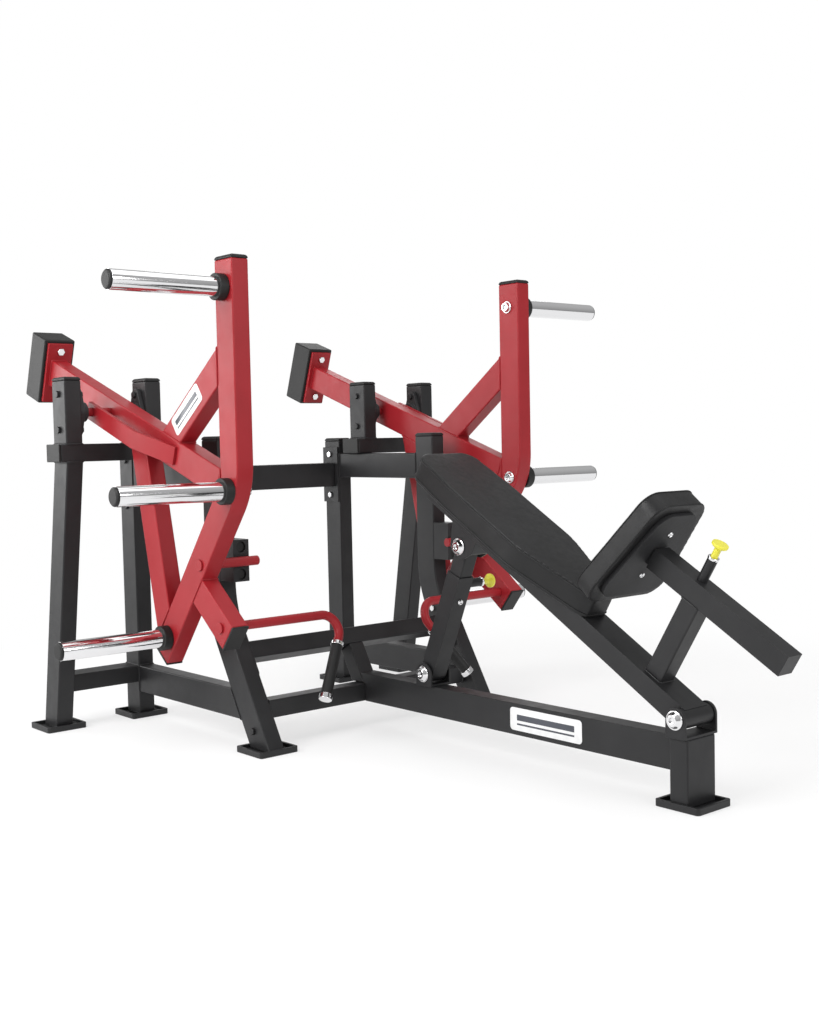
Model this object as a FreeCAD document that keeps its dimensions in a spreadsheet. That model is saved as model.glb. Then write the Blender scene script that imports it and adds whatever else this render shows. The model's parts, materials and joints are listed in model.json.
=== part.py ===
import FreeCAD, Part
import math
import os
import Sketcher

# Plate-loaded t bar row: a steel frame, an inclined bench on an adjustable strut,
# and two mirrored levers that swing about one horizontal axis at the rear.
# Millimetres.  X runs across the machine, -Y is the bench end, +Z is up.
# The origin is on the floor under the middle of the bounding box.

DRIVING_SIZES = {
    # steel sections
    "tube_width": 50.0,
    "tube_depth": 80.0,
    "slim_tube": 50.0,
    "plate": 8.0,
    "ear_plate": 6.0,
    "cap_height": 10.0,
    "cap_rim": 2.0,
    "foot_size": 120.0,
    "foot_height": 16.0,
    "foot_rim": 8.0,
    "foot_floor": 6.0,
    "foot_corner": 5.0,
    "leg_foot_shift": 3.0,
    "outer_foot_shift": 5.0,
    # stations along Y
    "pivot_y": 701.3,
    "rear_post_y": 824.3,
    "front_leg_y": 348.8,
    "leg_foot_y": 135.6,
    "hinge_y": -948.7,
    "front_post_y": -950.7,
    "strut_y": -90.7,
    "low_beam_y": 203.3,
    # stations along X
    "side_x": 390.0,
    "inner_upright_x": 406.0,
    "outer_post_x": 658.0,
    "lever_x": 502.0,
    "top_beam_inner_x": 354.0,
    "top_beam_outer_x": 700.0,
    # heights
    "pivot_z": 919.0,
    "hinge_z": 200.0,
    "strut_z": 190.0,
    "base_z": 117.0,
    "side_beam_z": 739.0,
    "rear_post_top": 822.0,
    "leg_top": 832.0,
    "upright_top": 1007.0,
    "mid_beam_z": 245.0,
    "rear_beam_z": 708.0,
    "leg_slope_degrees": 59.5,
    "leg_bend_radius": 290.0,
    "rear_plate_half": 93.0,
    "rear_bolt_reach": 69.0,
    "mid_plate_half": 80.0,
    "mid_plate_half_width": 30.0,
    "mid_plate_corner": 12.0,
    "mid_bolt_reach": 57.0,
    # front stop blocks
    "block_front_y": 242.3,
    "block_z": 505.0,
    "block_height": 114.0,
    "bumper_radius": 15.0,
    "bumper_recess": 12.0,
    "bumper_spacing": 74.0,
    # shafts, bolts and bearings
    "shaft_radius": 12.5,
    "bolt_radius": 8.0,
    "running_gap": 0.4,
    "washer_radius": 22.0,
    "washer_thick": 4.0,
    "bolt_head_radius": 19.0,
    "bolt_crown_radius": 13.0,
    "bolt_head_thick": 9.0,
    "bolt_socket_radius": 7.0,
    "bolt_socket_depth": 5.0,
    "horn_washer_radius": 18.0,
    "leg_bolt_z": 54.8,
    "small_head_radius": 10.0,
    "small_head_thick": 7.0,
    "bearing_bolt_reach": 50.0,
    "bearing_tip_radius": 18.0,
    "bearing_waist_radius": 34.0,
    "bearing_flange": 14.0,
    "bearing_boss": 28.0,
    "bearing_boss_radius": 28.0,
    "shaft_end_gap": 2.0,
    "hinge_side_gap": 2.0,
    "hinge_bracket_lift": 1.0,
    "hinge_ear_half": 27.0,
    "clevis_side_gap": 5.0,
    "clevis_ear_half": 30.0,
    # levers
    "lever_slope": 19.2,
    "lever_tail": 400.0,
    "arm_y": -624.0,
    "arm_top_z": 364.0,
    "arm_bend_z": -204.5,
    "arm_turn": 38.3,
    "arm_bend_radius": 170.0,
    "arm_lower_length": 598.4,
    "brace_slope": -36.0,
    "brace_offset": -263.8,
    "strut_slope": 77.2,
    "strut_rear_y": -122.0,
    "strut_rear_z": -106.0,
    "weight_plate": 10.0,
    "weight_plate_height": 186.0,
    "weight_length": 95.0,
    "weight_width": 100.0,
    "weight_height": 203.0,
    "weight_bolt_reach": 69.0,
    "weight_bolt_radius": 12.0,
    "weight_rise": 1.5,
    "outrigger_height": 50.0,
    "outrigger_thick": 12.0,
    "outrigger_reach": 77.0,
    "outrigger_tail": 22.0,
    "outrigger_bend": 248.0,
    "outrigger_end": 390.0,
    "outrigger_toe": 8.0,
    "handle_bracket_drop": 326.1,
    "handle_bracket_length": 179.0,
    "handle_drop": 140.6,
    "bar_radius": 12.5,
    "handle_corner_x": 125.0,
    "handle_bend_radius": 45.0,
    "handle_splay": 59.2,
    "handle_fall": 67.8,
    "handle_length": 268.0,
    "grip_radius": 15.5,
    "grip_start": 105.0,
    "grip_end": 253.0,
    "ring_width": 10.0,
    "ring_radius": 18.0,
    "stop_pin_radius": 13.0,
    "stop_pin_tip_x": 347.0,
    "stop_pin_drop": 1.0,
    "boss_grow": 2.0,
    "boss_height": 5.0,
    "horn_radius": 25.0,
    "horn_root_radius": 24.0,
    "horn_above_pivot": 294.0,
    "horn_below_pivot": 218.0,
    "horn_setback": 3.0,
    "horn_from_arm_end": 63.0,
    "horn_tip_x": 842.0,
    "horn_cap": 8.0,
    "horn_cap_crown": 19.0,
    "collar_radius": 34.0,
    "collar_length": 25.0,
    "end_cap": 6.0,
    # bench
    "bench_slope": 31.0,
    "rail_width": 80.0,
    "rail_length": 950.0,
    "barrel_radius": 23.5,
    "barrel_half": 50.0,
    "pad_thick": 65.0,
    "pad_foot_u": 335.0,
    "pad_foot_half": 33.0,
    "pad_foot_round": 12.0,
    "pad_neck_u": 360.0,
    "pad_neck_half": 50.0,
    "pad_neck_round": 60.0,
    "pad_waist_u": 560.0,
    "pad_waist_half": 105.0,
    "pad_waist_round": 200.0,
    "pad_chest_u": 820.0,
    "pad_chest_half": 106.0,
    "pad_chest_round": 200.0,
    "pad_head_u": 985.0,
    "pad_head_half": 93.0,
    "pad_head_round": 40.0,
    "seat_post_u": 116.5,
    "seat_post_top": 226.5,
    "sleeve_front": -140.0,
    "sleeve_rear": 255.0,
    "sleeve_wall": 4.5,
    "slider_end": 262.0,
    "slider_start": -120.0,
    "seat_tilt": 40.63,
    "seat_board": 10.0,
    "seat_pad_thick": 50.0,
    "seat_wide_end": 147.0,
    "seat_narrow_end": -143.0,
    "seat_wide": 140.0,
    "seat_narrow": 84.0,
    "seat_corner": 45.0,
    "board_inset": 22.0,
    "bracket_front_u": 735.0,
    "bracket_rear_u": 840.0,
    "bracket_pivot_u": 784.0,
    "bracket_pivot_drop": 72.0,
    "bracket_tip_radius": 26.0,
    "bracket_outer_half": 34.0,
    "bracket_front_drop": 62.0,
    "bracket_corner": 25.0,
    # strut and pull pins
    "strut_outer_length": 300.0,
    "strut_wall": 2.5,
    "strut_inner_width": 44.0,
    "strut_bore_start": 35.0,
    "strut_inner_start": 90.0,
    "strut_inner_end": 368.0,
    "strut_pin_reach": 268.5,
    "housing_radius": 12.0,
    "stem_radius": 5.0,
    "pin_tip_gap": 0.5,
    "knob_radius": 19.0,
    "knob_neck_radius": 8.0,
    "knob_flare": 8.0,
    "knob_thick": 6.0,
    "strut_barrel_overhang": 3.0,
    "housing_length": 55.0,
    "stem_show": 35.0,
    "seat_pin_u": 129.0,
}

doc = FreeCAD.newDocument("t_bar_row")
sheet = doc.addObject("Spreadsheet::Sheet", "Sizes")
for row, (alias, value) in enumerate(DRIVING_SIZES.items(), start=1):
    sheet.set("A%d" % row, alias.replace("_", " "))
    sheet.set("B%d" % row, str(value))
    sheet.setAlias("B%d" % row, alias)
doc.recompute()


def size(alias):
    """A driving size as the sheet now holds it."""
    return float(sheet.get(alias))


X_AXIS = FreeCAD.Vector(1, 0, 0)
Y_AXIS = FreeCAD.Vector(0, 1, 0)
SIDES = (("left", -1), ("right", 1))
TUBE_HALF_WIDTH = size("tube_width") / 2
TUBE_HALF_DEPTH = size("tube_depth") / 2
SLIM_HALF = size("slim_tube") / 2

nodes = []


# ---------------------------------------------------------------- plane geometry
def straight(y, z, degrees):
    """A line through (y, z) whose direction is this many degrees above +Y."""
    return (y, z, math.radians(degrees))


def offset(line, distance):
    """The parallel line this far to the left of the line's direction."""
    y, z, angle = line
    return (y - distance * math.sin(angle), z + distance * math.cos(angle), angle)


def along(line, distance, sideways=0.0):
    """The point this far along a line and this far to its left."""
    y, z, angle = offset(line, sideways)
    return (y + distance * math.cos(angle), z + distance * math.sin(angle))


def across(line, distance):
    """The line that crosses a line squarely, this far along it."""
    y, z = along(line, distance)
    return (y, z, line[2] + math.pi / 2)


def meet(first, second):
    """Where two lines cross."""
    y1, z1, a1 = first
    y2, z2, a2 = second
    reach = ((y2 - y1) * math.sin(a2) - (z2 - z1) * math.cos(a2)) / math.sin(a2 - a1)
    return (y1 + reach * math.cos(a1), z1 + reach * math.sin(a1))


def tube_outline(centre, half_depth, start, finish):
    """Four corners of a straight tube about a centre line, cut by two end lines."""
    left = offset(centre, half_depth)
    right = offset(centre, -half_depth)
    return [meet(left, start), meet(left, finish), meet(right, finish), meet(right, start)]


def bent_outline(first, second, half_depth, radius, start, finish):
    """A tube bent once between two centre lines; its corner points carry their radii."""
    outline = []
    turn = math.sin(second[2] - first[2])
    grow = half_depth if turn < 0 else -half_depth
    left_corner = meet(offset(first, half_depth), offset(second, half_depth))
    right_corner = meet(offset(first, -half_depth), offset(second, -half_depth))
    outline.append(meet(offset(first, half_depth), start))
    outline.append(left_corner + (radius + grow,))
    outline.append(meet(offset(second, half_depth), finish))
    outline.append(meet(offset(second, -half_depth), finish))
    outline.append(right_corner + (radius - grow,))
    outline.append(meet(offset(first, -half_depth), start))
    return outline


def rectangle(low_y, low_z, high_y, high_z):
    """Four corners of an upright rectangle."""
    return [(low_y, low_z), (high_y, low_z), (high_y, high_z), (low_y, high_z)]


# ---------------------------------------------------------------- sketches and bodies
def edges_of(outline):
    """Segments and arcs of a closed outline; a corner (y, z, radius) is rounded."""
    count = len(outline)
    stops = []
    for index, corner in enumerate(outline):
        here = FreeCAD.Vector(corner[0], corner[1], 0)
        radius = corner[2] if len(corner) > 2 else 0.0
        if not radius:
            stops.append((here, None, here))
            continue
        before = outline[index - 1]
        after = outline[(index + 1) % count]
        to_before = (FreeCAD.Vector(before[0], before[1], 0) - here).normalize()
        to_after = (FreeCAD.Vector(after[0], after[1], 0) - here).normalize()
        half_angle = to_before.getAngle(to_after) / 2
        tangent = radius / math.tan(half_angle)
        bisector = (to_before + to_after).normalize()
        centre = here + bisector * (radius / math.sin(half_angle))
        middle = centre - bisector * radius
        stops.append((here + to_before * tangent, middle, here + to_after * tangent))
    edges = []
    for index, (arrive, middle, leave) in enumerate(stops):
        if middle is not None:
            edges.append(Part.Arc(arrive, middle, leave))
        next_arrive = stops[(index + 1) % count][0]
        if leave.distanceToPoint(next_arrive) > 1e-6:
            edges.append(Part.LineSegment(leave, next_arrive))
    return edges


def sketch_on(body, role, edges, name):
    """A sketch of these edges on one of the body's own planes, held in place."""
    sketch = body.newObject("Sketcher::SketchObject", name)
    plane = [item for item in body.Origin.OriginFeatures if item.Role == role][0]
    sketch.AttachmentSupport = [(plane, "")]
    sketch.MapMode = "FlatFace"
    for index, edge in enumerate(edges):
        sketch.addGeometry(edge, False)
        sketch.addConstraint(Sketcher.Constraint("Block", index))
    return sketch


def pad_body(name, outline, thickness, role="YZ_Plane", symmetric=True):
    """A body made by padding one outline; thickness is an expression of the sheet."""
    body = doc.addObject("PartDesign::Body", name)
    sketch = sketch_on(body, role, edges_of(outline), name + "_outline")
    pad = body.newObject("PartDesign::Pad", name + "_pad")
    pad.Profile = sketch
    pad.SideType = "Symmetric" if symmetric else "One side"
    pad.setExpression("Length", thickness)
    body.Tip = pad
    return body


def pocket(body, edges, depth, name, role="YZ_Plane"):
    """A symmetric pocket of these edges cut through the body about one of its planes."""
    sketch = sketch_on(body, role, edges, name + "_outline")
    cut = body.newObject("PartDesign::Pocket", name)
    cut.Profile = sketch
    cut.SideType = "Symmetric"
    cut.setExpression("Length", depth)
    body.Tip = cut


def circle(y, z, radius):
    """A full circle edge in a sketch plane."""
    return Part.Circle(FreeCAD.Vector(y, z, 0), FreeCAD.Vector(0, 0, 1), radius)


def turned_body(name, steps, bore=0.0):
    """A body turned about X from steps (start, end, radius), with an optional bore."""
    outline = [(steps[0][0], bore)]
    for start, end, radius in steps:
        outline.append((start, radius))
        outline.append((end, radius))
    outline.append((steps[-1][1], bore))
    return turned_outline(name, outline)


def turned_outline(name, points):
    """A body turned about X from points (distance along X, radius)."""
    body = doc.addObject("PartDesign::Body", name)
    sketch = sketch_on(body, "XY_Plane", edges_of(points), name + "_profile")
    spin = body.newObject("PartDesign::Revolution", name + "_turn")
    spin.Profile = sketch
    spin.ReferenceAxis = (sketch, ["H_Axis"])
    spin.Angle = 360
    body.Tip = spin
    return body


def box(name, length, width, height, centre, turn=0.0):
    """A box centred on a point, turned about X; its sides are sheet expressions."""
    solid = doc.addObject("Part::Box", name)
    solid.setExpression("Length", length)
    solid.setExpression("Width", width)
    solid.setExpression("Height", height)
    doc.recompute([solid])
    half = FreeCAD.Vector(solid.Length.Value, solid.Width.Value, solid.Height.Value) * 0.5
    rotation = FreeCAD.Rotation(X_AXIS, turn)
    solid.Placement = FreeCAD.Placement(FreeCAD.Vector(*centre) - rotation.multVec(half), rotation)
    return solid


def rod(name, radius, start_x, end_x, y, z):
    """A cylinder along X; its radius is a sheet expression."""
    solid = doc.addObject("Part::Cylinder", name)
    solid.setExpression("Radius", radius)
    solid.Height = abs(end_x - start_x)
    base = FreeCAD.Vector(min(start_x, end_x), y, z)
    solid.Placement = FreeCAD.Placement(base, FreeCAD.Rotation(Y_AXIS, 90))
    return solid


def place(solid, x, y, z, turn=0.0):
    """Put a solid's own origin at a point, turned about X."""
    solid.Placement = FreeCAD.Placement(FreeCAD.Vector(x, y, z), FreeCAD.Rotation(X_AXIS, turn))
    return solid


def cut(name, base, tool):
    """The first solid less the second."""
    result = doc.addObject("Part::Cut", name)
    result.Base = base
    result.Tool = tool
    return result


def node(label, solid):
    """Register one finished sub-part under its file name."""
    solid.Label = label
    nodes.append(solid)
    return solid


def group(label, solids):
    """Register several separate solids as one sub-part."""
    compound = doc.addObject("Part::Compound", label)
    compound.Links = solids
    return node(label, compound)


# ---------------------------------------------------------------- lines of the frame
LEG_LINE = straight(size("leg_foot_y"), 0.0, size("leg_slope_degrees"))
LEG_UPRIGHT = straight(size("front_leg_y"), 0.0, 90)
FLOOR_LINE = straight(0.0, size("foot_floor"), 0)
BASE_TOP = size("base_z") + TUBE_HALF_DEPTH
BASE_BOTTOM = size("base_z") - TUBE_HALF_DEPTH
LEG_INNER_X = size("side_x") - TUBE_HALF_WIDTH
LEG_OUTER_X = size("side_x") + TUBE_HALF_WIDTH
REAR_FRONT_FACE = size("rear_post_y") - TUBE_HALF_DEPTH
LOW_BEAM_TOP = BASE_BOTTOM + size("slim_tube")
TOP_BEAM_BOTTOM = size("side_beam_z") + TUBE_HALF_DEPTH
TOP_BEAM_TOP = TOP_BEAM_BOTTOM + size("slim_tube")


def leg_distance(height):
    """Distance along the slanted leg line at a height."""
    return height / math.sin(LEG_LINE[2])


def frame_pair(label, outline, x_alias):
    """Mirrored left and right tubes of one outline, grouped as one sub-part."""
    pair = []
    for side_name, side in SIDES:
        tube = pad_body(label + "_" + side_name, outline, "Sizes.tube_width")
        place(tube, side * size(x_alias), 0, 0)
        pair.append(tube)
    return group(label, pair)


def build_spine():
    """Long centre tube; its rear end is notched over the low cross beam and strut."""
    strut_front = offset(LEG_LINE, SLIM_HALF)
    beam_front = size("low_beam_y") - SLIM_HALF
    front = size("front_post_y") + TUBE_HALF_WIDTH
    outline = [
        (front, BASE_BOTTOM),
        (beam_front, BASE_BOTTOM),
        (beam_front, LOW_BEAM_TOP),
        meet(strut_front, straight(0, LOW_BEAM_TOP, 0)),
        meet(strut_front, straight(0, BASE_TOP, 0)),
        (front, BASE_TOP),
    ]
    node("spine_beam", pad_body("spine_beam", outline, "Sizes.tube_width"))


def build_cross_beams():
    """Three beams that tie the two sides of the frame together."""
    inner_span = "2 * (Sizes.side_x - Sizes.tube_width / 2)"
    flanged_span = inner_span + " - 2 * Sizes.plate"
    low = box("low_cross_beam", inner_span, "Sizes.slim_tube", "Sizes.slim_tube",
              (0, size("low_beam_y"), BASE_BOTTOM + SLIM_HALF))
    mid_y, mid_z = along(LEG_LINE, leg_distance(size("mid_beam_z")))
    mid = box("mid_cross_beam", flanged_span, "Sizes.slim_tube", "Sizes.slim_tube",
              (0, mid_y, mid_z), size("leg_slope_degrees"))
    rear = box("rear_cross_beam", flanged_span, "Sizes.slim_tube", "Sizes.tube_depth",
               (0, size("rear_post_y"), size("rear_beam_z")))
    group("cross_beams", [low, mid, rear])


def build_centre_strut():
    """Short slanted tube from the low cross beam up to the mid cross beam."""
    top = across(LEG_LINE, leg_distance(size("mid_beam_z")) - SLIM_HALF)
    outline = tube_outline(LEG_LINE, SLIM_HALF, straight(0, LOW_BEAM_TOP, 0), top)
    node("centre_strut", pad_body("centre_strut", outline, "Sizes.slim_tube"))


def build_front_legs():
    """Tubes that rise slanting from the floor and bend upright."""
    outline = bent_outline(LEG_LINE, LEG_UPRIGHT, TUBE_HALF_DEPTH, size("leg_bend_radius"),
                           FLOOR_LINE, straight(0, size("leg_top"), 0))
    frame_pair("front_legs", outline, "side_x")


def build_side_tubes():
    """Rear posts, upper side beams and base beams in the two side planes."""
    post = rectangle(REAR_FRONT_FACE, size("foot_floor"),
                     REAR_FRONT_FACE + size("tube_depth"), size("rear_post_top"))
    frame_pair("rear_posts", post, "side_x")
    leg_rear = size("front_leg_y") + TUBE_HALF_DEPTH
    beam = rectangle(leg_rear, size("side_beam_z") - TUBE_HALF_DEPTH,
                     REAR_FRONT_FACE, size("side_beam_z") + TUBE_HALF_DEPTH)
    frame_pair("side_beams", beam, "side_x")
    base = tube_outline(straight(0, size("base_z"), 0), TUBE_HALF_DEPTH,
                        offset(LEG_LINE, -TUBE_HALF_DEPTH), straight(REAR_FRONT_FACE, 0, 90))
    frame_pair("base_beams", base, "side_x")


def build_outer_posts():
    """Outer posts lean back from under the top beams to the rear feet."""
    top = (size("pivot_y"), TOP_BEAM_BOTTOM)
    foot = (size("rear_post_y") + size("outer_foot_shift"), size("foot_floor"))
    lean = math.degrees(math.atan2(top[1] - foot[1], top[0] - foot[0]))
    centre = straight(foot[0], foot[1], lean)
    outline = tube_outline(centre, TUBE_HALF_DEPTH, FLOOR_LINE, straight(0, top[1], 0))
    frame_pair("outer_posts", outline, "outer_post_x")
    braces = []
    inner = LEG_OUTER_X
    outer = size("outer_post_x") - TUBE_HALF_WIDTH
    span = "Sizes.outer_post_x - Sizes.side_x - Sizes.tube_width"
    for side_name, side in SIDES:
        centre_point = (side * (inner + outer) / 2, size("rear_post_y"), BASE_TOP - SLIM_HALF)
        braces.append(box("rear_brace_" + side_name, span, "Sizes.tube_depth",
                          "Sizes.slim_tube", centre_point))
    group("rear_braces", braces)


def build_top():
    """Top beams across each side and the four uprights that carry the bearings."""
    beams = []
    middle = (size("top_beam_inner_x") + size("top_beam_outer_x")) / 2
    for side_name, side in SIDES:
        centre_point = (side * middle, size("pivot_y"), TOP_BEAM_BOTTOM + SLIM_HALF)
        beams.append(box("top_beam_" + side_name, "Sizes.top_beam_outer_x - Sizes.top_beam_inner_x",
                         "Sizes.tube_depth", "Sizes.slim_tube", centre_point))
    group("top_beams", beams)
    outline = rectangle(size("pivot_y") - TUBE_HALF_DEPTH, TOP_BEAM_TOP,
                        size("pivot_y") + TUBE_HALF_DEPTH, size("upright_top"))
    uprights = []
    for side_name, side in SIDES:
        for place_name in ("inner_upright_x", "outer_post_x"):
            upright = pad_body("upright_" + side_name + "_" + place_name, outline,
                               "Sizes.tube_width")
            uprights.append(place(upright, side * size(place_name), 0, 0))
    group("uprights", uprights)


def build_flange_plates():
    """Bolted end plates of the rear and mid cross beams."""
    plates = []
    centre_x = LEG_INNER_X - size("plate") / 2
    half_long = size("rear_plate_half")
    rear = rectangle(-TUBE_HALF_DEPTH, -half_long, TUBE_HALF_DEPTH, half_long)
    half_long = size("mid_plate_half")
    half_wide = size("mid_plate_half_width")
    corners = rectangle(-half_wide, -half_long, half_wide, half_long)
    round_end = [(y, z, size("mid_plate_corner")) for y, z in corners]
    mid_y, mid_z = along(LEG_LINE, leg_distance(size("mid_beam_z")))
    for side_name, side in SIDES:
        plate = pad_body("rear_plate_" + side_name, rear, "Sizes.plate")
        plates.append(place(plate, side * centre_x, size("rear_post_y"), size("rear_beam_z")))
        plate = pad_body("mid_plate_" + side_name, round_end, "Sizes.plate")
        plates.append(place(plate, side * centre_x, mid_y, mid_z, size("leg_slope_degrees") - 90))
    group("flange_plates", plates)


def u_bracket(name, half_gap, z_plate, y, z, tip):
    """A saddle of two ears of tip radius on a base plate, about a hinge point (y, z)."""
    base = z_plate - z
    outline = [(-tip, base), (tip, base), (tip, tip, tip), (-tip, tip, tip)]
    body = doc.addObject("PartDesign::Body", name)
    sketch = sketch_on(body, "YZ_Plane", edges_of(outline), name + "_outline")
    pad = body.newObject("PartDesign::Pad", name + "_pad")
    pad.Profile = sketch
    pad.SideType = "Symmetric"
    pad.setExpression("Length", "2 * (%g + Sizes.ear_plate)" % half_gap)
    body.Tip = pad
    gap = rectangle(-2 * tip, base + size("ear_plate"), 2 * tip, 2 * tip)
    pocket(body, edges_of(gap), "2 * %g" % half_gap, name + "_gap")
    bore = [circle(0, 0, size("bolt_radius"))]
    pocket(body, bore, "4 * (%g + Sizes.ear_plate)" % half_gap, name + "_bore")
    return place(body, 0, y, z)


def bolt_profile(face, rim):
    """Half outline of a washer and a domed socket head that stand on a face."""
    washer_end = face + size("washer_thick")
    head_end = washer_end + size("bolt_head_thick")
    socket_floor = head_end - size("bolt_socket_depth")
    head = rim - size("washer_radius") + size("bolt_head_radius")
    return [
        (face, rim),
        (washer_end, rim),
        (washer_end, head),
        (head_end, size("bolt_crown_radius")),
        (head_end, size("bolt_socket_radius")),
        (socket_floor, size("bolt_socket_radius")),
        (socket_floor, 0.0),
    ]


def cross_bolt(name, half_span):
    """A bolt along X with a washer and a domed head outside each ear."""
    right = [(half_span, size("bolt_radius"))] + bolt_profile(half_span, size("washer_radius"))
    left = [(-x, radius) for x, radius in reversed(right)]
    return turned_outline(name, left + right)


HINGE_GAP = size("barrel_half") + size("hinge_side_gap")
CLEVIS_GAP = SLIM_HALF + size("clevis_side_gap")
HINGE_SEAT_Z = BASE_TOP + size("hinge_bracket_lift")


def build_brackets():
    """Saddles that carry the bench hinge and the foot of the strut; gives their bolts."""
    hinge = u_bracket("hinge_bracket", HINGE_GAP, HINGE_SEAT_Z,
                      size("hinge_y"), size("hinge_z"), size("hinge_ear_half"))
    clevis = u_bracket("strut_clevis", CLEVIS_GAP, BASE_TOP,
                       size("strut_y"), size("strut_z"), size("clevis_ear_half"))
    group("saddle_brackets", [hinge, clevis])
    hinge_bolt = cross_bolt("hinge_bolt", HINGE_GAP + size("ear_plate"))
    place(hinge_bolt, 0, size("hinge_y"), size("hinge_z"))
    clevis_bolt = cross_bolt("clevis_bolt", CLEVIS_GAP + size("ear_plate"))
    place(clevis_bolt, 0, size("strut_y"), size("strut_z"))
    return [hinge_bolt, clevis_bolt]


def build_front_post():
    """Wide post under the bench hinge."""
    height = HINGE_SEAT_Z - size("foot_floor")
    post = box("front_post", "2 * Sizes.tube_width", "Sizes.tube_width", "%g" % height,
               (0, size("front_post_y"), size("foot_floor") + height / 2))
    node("front_post", post)


def build_feet():
    """Seven tray feet with raised rims; every post stands in one."""
    leg_y = along(LEG_LINE, leg_distance(size("foot_floor")))[0]
    places = [(0.0, size("front_post_y"))]
    for side in (-1, 1):
        places.append((side * size("side_x"), leg_y + size("leg_foot_shift")))
        places.append((side * size("side_x"), size("rear_post_y")))
        places.append((side * size("outer_post_x"), size("rear_post_y") + size("outer_foot_shift")))
    half = size("foot_size") / 2
    inner = half - size("foot_rim")
    feet = []
    for index, (x, y) in enumerate(places, start=1):
        outline = [(a, b, size("foot_rim")) for a, b in rectangle(-half, -half, half, half)]
        foot = pad_body("foot_%d" % index, outline, "Sizes.foot_height", "XY_Plane", False)
        tray = [(a, b, size("foot_corner")) for a, b in rectangle(-inner, -inner, inner, inner)]
        pocket(foot, edges_of(tray), "2 * (Sizes.foot_height - Sizes.foot_floor)",
               "tray_%d" % index, "XY_Plane")
        tray_sketch = doc.getObject("tray_%d_outline" % index)
        tray_sketch.AttachmentOffset = FreeCAD.Placement(
            FreeCAD.Vector(0, 0, size("foot_height")), FreeCAD.Rotation())
        feet.append(place(foot, x, y, 0))
    group("foot_plates", feet)


def disc(name, thickness, x, y, z):
    """A bumper-sized cylinder whose rear face is at y and which stands toward -Y."""
    solid = doc.addObject("Part::Cylinder", name)
    solid.setExpression("Radius", "Sizes.bumper_radius")
    solid.setExpression("Height", thickness)
    solid.Placement = FreeCAD.Placement(FreeCAD.Vector(x, y, z), FreeCAD.Rotation(X_AXIS, 90))
    return solid


def build_stop_blocks():
    """Blocks on the fronts of the legs, each with two round recesses for its bumpers."""
    leg_front = size("front_leg_y") - TUBE_HALF_DEPTH
    depth = leg_front - size("block_front_y")
    blocks = []
    for side_name, side in SIDES:
        centre_point = (side * size("side_x"), leg_front - depth / 2, size("block_z"))
        block = box("stop_block_" + side_name, "Sizes.tube_width", "%g" % depth,
                    "Sizes.block_height", centre_point)
        for up in (-1, 1):
            z = size("block_z") + up * size("bumper_spacing") / 2
            recess = disc("recess_%s_%d" % (side_name, up + 2), "Sizes.bumper_recess",
                          side * size("side_x"), size("block_front_y") + size("bumper_recess"), z)
            block = cut("stop_block_%s_%d" % (side_name, up + 2), block, recess)
        blocks.append(block)
    group("stop_blocks", blocks)


def build_bearings():
    """Two-bolt flange bearings that face each other on each pair of uprights."""
    tip_r = size("bearing_tip_radius")
    waist_r = size("bearing_waist_radius")
    reach = size("bearing_bolt_reach")
    lean = (waist_r - tip_r) / reach
    tall = waist_r / lean
    wide = waist_r / math.sqrt(1 - lean * lean)
    rhombus = [(wide, 0, waist_r), (0, tall, tip_r), (-wide, 0, waist_r), (0, -tall, tip_r)]
    bore = size("shaft_radius") + size("running_gap")
    bearings = []
    for side_name, side in SIDES:
        inner_face = size("inner_upright_x") + TUBE_HALF_WIDTH
        outer_face = size("outer_post_x") - TUBE_HALF_WIDTH
        for face, grow in ((inner_face, 1), (outer_face, -1)):
            name = "bearing_%s_%d" % (side_name, len(bearings))
            flange = pad_body(name + "_flange", rhombus, "Sizes.bearing_flange")
            pocket(flange, [circle(0, 0, bore)], "4 * Sizes.bearing_flange", name + "_bore")
            middle = face + grow * size("bearing_flange") / 2
            place(flange, side * middle, size("pivot_y"), size("pivot_z"))
            start = size("bearing_flange")
            steps = [(start, size("bearing_boss"), size("bearing_boss_radius"))]
            boss = turned_body(name + "_boss", steps, bore)
            boss.Placement = FreeCAD.Placement(
                FreeCAD.Vector(side * face, size("pivot_y"), size("pivot_z")),
                FreeCAD.Rotation(Y_AXIS, 0 if side * grow > 0 else 180))
            bearing = doc.addObject("Part::Fuse", name)
            bearing.Base = flange
            bearing.Tool = boss
            bearings.append(bearing)
    group("bearings", bearings)


def hex_bolt(name, x, y, z, toward):
    """A hexagon head on a face at x, standing out along +X or -X."""
    head = doc.addObject("Part::Prism", name)
    head.Polygon = 6
    head.setExpression("Circumradius", "Sizes.small_head_radius")
    head.setExpression("Height", "Sizes.small_head_thick")
    head.Placement = FreeCAD.Placement(FreeCAD.Vector(x, y, z), FreeCAD.Rotation(Y_AXIS, 90 * toward))
    return head


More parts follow.
